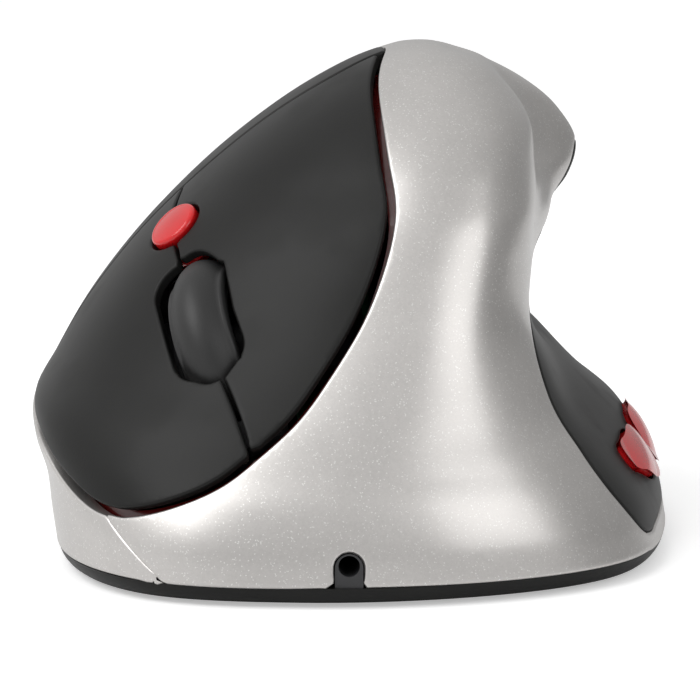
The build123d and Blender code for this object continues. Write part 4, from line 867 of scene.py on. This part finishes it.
class MOUSE_OT_keys(PieceMaker, bpy.types.Operator):
    """Trims the upper and the lower key, with the wheel's slot and the oval hole"""
    bl_idname = "mouse.keys"
    bl_label = "Keys"

    def build(self, sizes, body):
        panel = np.minimum.reduce([body.opening - sizes.key_gap, -body.rear - sizes.groove_gap,
                                   body.slot, body.hole])
        for name, side in (("left", 1), ("right", -1)):
            distance = np.minimum(panel, side * body.upper - sizes.seam_gap / 2)
            piece = trimmed_skin(name + "_key_skin", body, distance, sizes.key_wall)
            dress(piece, "satin_black", name + "_key", name + "_button")


class MOUSE_OT_thumb_panel(PieceMaker, bpy.types.Operator):
    """Trims the dark thumb panel with the holes of its two buttons"""
    bl_idname = "mouse.thumb_panel"
    bl_label = "Thumb panel"

    def build(self, sizes, body):
        distance = np.minimum.reduce([body.thumb - sizes.fixed_gap, body.above_base]
                                     + [hole - sizes.button_gap for hole in body.buttons])
        piece = trimmed_skin("thumb_skin", body, distance, sizes.shell_wall)
        dress(piece, "satin_black", "housing", "thumb_panel")


class MOUSE_OT_resolution_button(PieceMaker, bpy.types.Operator):
    """Builds the oval button between the keys"""
    bl_idname = "mouse.resolution_button"
    bl_label = "Resolution button"

    def build(self, sizes, body):
        facing = np.array(DPI_FACING) / np.linalg.norm(DPI_FACING)
        middle = (body.deck.world(DPI_RUN, DPI_SIDE, DPI_RISE)
                  + facing * (DPI_PROUD - DPI_DOME))
        a, b, c = body.oval.local(middle)

        def dome(u, v):
            return c + np.sqrt(DPI_DOME ** 2 - (u - a) ** 2 - (v - b) ** 2)

        low = DPI_RISE - DPI_DEPTH
        skirt = [(0, low + FLANGE_HEIGHT + FLANGE_EDGE), (DPI_FLANGE, low + FLANGE_HEIGHT),
                 (DPI_FLANGE, low)]
        piece = button_piece("oval_cap", body.oval, oval_outline(sizes, 0), dome,
                             OVAL_EDGE * sizes.edge, skirt)
        dress(piece, "gloss_red", "resolution", "dpi_button")


class MOUSE_OT_side_buttons(PieceMaker, bpy.types.Operator):
    """Builds the two teardrop buttons of the thumb side"""
    bl_idname = "mouse.side_buttons"
    bl_label = "Side buttons"

    def build(self, sizes, body):
        for name, mirror in (("forward", 1), ("back", -1)):
            outline = side_outline(mirror)
            middle = outline.mean(0)
            size = np.abs(outline - middle).max(0)

            def pillow(u, v):
                over = 1 - ((u - middle[0]) / size[0]) ** 2 - ((v - middle[1]) / size[1]) ** 2
                rise = SIDE_BUTTON_PROUD * (BRIM_SHARE + (1 - BRIM_SHARE) * np.clip(over, 0, 1))
                return body.lift(body.side, u, v, SIDE_REACH) + rise

            skirt = [(0, None), (0, -SIDE_BUTTON_DEPTH)]
            piece = button_piece(name + "_cap", body.side, outline, pillow,
                                 SIDE_EDGE * sizes.edge, skirt)
            dress(piece, "gloss_red", name, name + "_button")


class MOUSE_OT_wheel(PieceMaker, bpy.types.Operator):
    """Turns the crowned rubber tyre of the wheel"""
    bl_idname = "mouse.wheel"
    bl_label = "Wheel tyre"

    def build(self, sizes, body):
        half, soft = sizes.wheel_width / 2, TYRE_EDGE * sizes.edge
        share = np.linspace(-1, 1, TYRE_POINTS)
        crown = np.stack([share * (half - soft), sizes.wheel_radius - sizes.wheel_crown
                          * share ** 2 * TYRE_FLATNESS], 1)
        turn = np.linspace(0, math.pi / 2, TYRE_CORNER)[1:]
        drop = crown[-1, 1] - soft
        right = np.stack([half - soft + soft * np.sin(turn), drop + soft * np.cos(turn)], 1)
        left = (right * (-1, 1))[::-1]
        bore = np.array([(half, sizes.hub_radius), (-half, sizes.hub_radius)])
        profile = np.concatenate([left, crown, right, bore])
        plane = body.deck.moved(SLOT_RUN, 0, 0)
        piece = turned_piece("tyre_ring", plane, profile, TYRE_STEPS)
        dress(piece, "wheel_rubber", "wheel", "wheel_tyre")


class MOUSE_OT_solid_finishes(bpy.types.Operator):
    """Gives every solid that stays shown the finish of its slot"""
    bl_idname = "mouse.solid_finishes"
    bl_label = "Solid finishes"

    def execute(self, context):
        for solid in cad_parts.values():
            for place in solid.material_slots:
                place.material = finish(place.material.name.split(".")[0])
        return {"FINISHED"}


def aimed(name, data, place, aim):
    """A new object in the scene that looks at a point."""
    made = bpy.data.objects.new(name, data)
    made.location = place
    made.rotation_euler = (Vector(aim) - Vector(place)).to_track_quat("-Z", "Y").to_euler()
    bpy.context.scene.collection.objects.link(made)
    return made


def floor_material(value):
    """Pale floor: lit by the lamps, and lifted to white only for the camera's own rays."""
    material, tree, shader, grain = finish_start("studio_floor")
    seen = node(tree, "LightPath").outputs["Is Camera Ray"]
    fill(shader, {"Base Color": toned(tree, value, grain.outputs["Shade"], 0.03),
                  "Roughness": 0.9, "Emission Color": WHITE,
                  "Emission Strength": worked_out(tree, "MULTIPLY", seen, FLOOR_LIFT)})
    return material


def light_room(strength):
    """A world that is brighter to one side, and white where the camera sees it."""
    world = bpy.data.worlds.new("studio_room")
    world.use_nodes = True
    tree = world.node_tree
    tree.nodes.clear()
    lean = node(tree, "VectorMath", {0: node(tree, "TexCoord").outputs["Generated"],
                                     1: ROOM_LEAN}, operation="DOT_PRODUCT")
    glow = ranged(tree, lean.outputs["Value"], *ROOM_GLOW, *ROOM_SPAN)
    shown = node(tree, "Mix", {0: node(tree, "LightPath").outputs["Is Camera Ray"],
                               2: worked_out(tree, "MULTIPLY", glow, strength), 3: 1.0},
                 data_type="FLOAT")
    back = node(tree, "Background", {"Color": WHITE, "Strength": shown.outputs[0]})
    node(tree, "OutputWorld", {"Surface": back.outputs[0]})
    return world


class MOUSE_OT_stage(bpy.types.Operator):
    """Sets the floor, the room light, the lamps and the camera"""
    bl_idname = "mouse.stage"
    bl_label = "Studio"

    def execute(self, context):
        scene, stage = context.scene, context.scene.mouse_stage
        steps = FLOOR_STEPS
        turn = np.linspace(0, 2 * math.pi, steps, endpoint=False)
        radius = np.array(FLOOR_RADII)[:, None]
        points = np.stack([radius * np.cos(turn), radius * np.sin(turn),
                           np.full((len(radius), steps), -FLOOR_DROP)], 2).reshape(-1, 3)
        faces = ring_faces(0, len(radius), steps) + [list(range(steps))]
        floor = mesh_piece("studio_floor", points, faces)
        floor.data.materials.append(floor_material(scene.mouse_finishes.floor))
        for label, (place, size) in LAMPS.items():
            data = bpy.data.lights.new(label + "_lamp", "AREA")
            data.shape, data.size = "SQUARE", size
            data.energy = getattr(stage, label + "_power")
            aimed(data.name, data, place, LAMP_AIM)
        scene.world = light_room(stage.room_light)
        data = bpy.data.cameras.new("studio_camera")
        data.lens, data.sensor_width, data.clip_start = stage.lens, SENSOR_WIDTH, NEAREST
        scene.camera = aimed(data.name, data,
                             (CAMERA_X, -stage.distance, stage.camera_height),
                             (CAMERA_X, AIM_Y, stage.aim_height))
        scene.view_settings.view_transform = "Standard"
        return {"FINISHED"}


class MOUSE_PT_panel(bpy.types.Panel):
    """Lists the mouse's pieces and its sizes"""
    bl_idname = "MOUSE_PT_panel"
    bl_label = "Vertical mouse"
    bl_space_type = "VIEW_3D"
    bl_region_type = "UI"
    bl_category = "Mouse"

    def draw(self, context):
        for maker in OPERATORS:
            self.layout.operator(maker.bl_idname)
        for name, group in GROUPS.items():
            box = self.layout.box()
            for label in group.__annotations__:
                box.prop(getattr(context.scene, name), label)


OPERATORS = (MOUSE_OT_solid_finishes, MOUSE_OT_silver_shell, MOUSE_OT_palm_rest, MOUSE_OT_keys,
             MOUSE_OT_thumb_panel, MOUSE_OT_resolution_button, MOUSE_OT_side_buttons,
             MOUSE_OT_wheel, MOUSE_OT_stage)
GROUPS = {"mouse_sizes": MouseSizes, "mouse_finishes": MouseFinishes, "mouse_stage": MouseStage}


def register():
    for label, group in GROUPS.items():
        bpy.utils.register_class(group)
        setattr(bpy.types.Scene, label, PointerProperty(type=group))
    for maker in OPERATORS + (MOUSE_PT_panel,):
        bpy.utils.register_class(maker)


def unregister():
    for maker in (MOUSE_PT_panel,) + OPERATORS[::-1]:
        bpy.utils.unregister_class(maker)
    for label, group in GROUPS.items():
        delattr(bpy.types.Scene, label)
        bpy.utils.unregister_class(group)


def main():
    """Registers the add-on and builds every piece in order."""
    register()
    for maker in OPERATORS:
        area, name = maker.bl_idname.split(".")
        getattr(getattr(bpy.ops, area), name)()


if __name__ == "__main__":
    main()
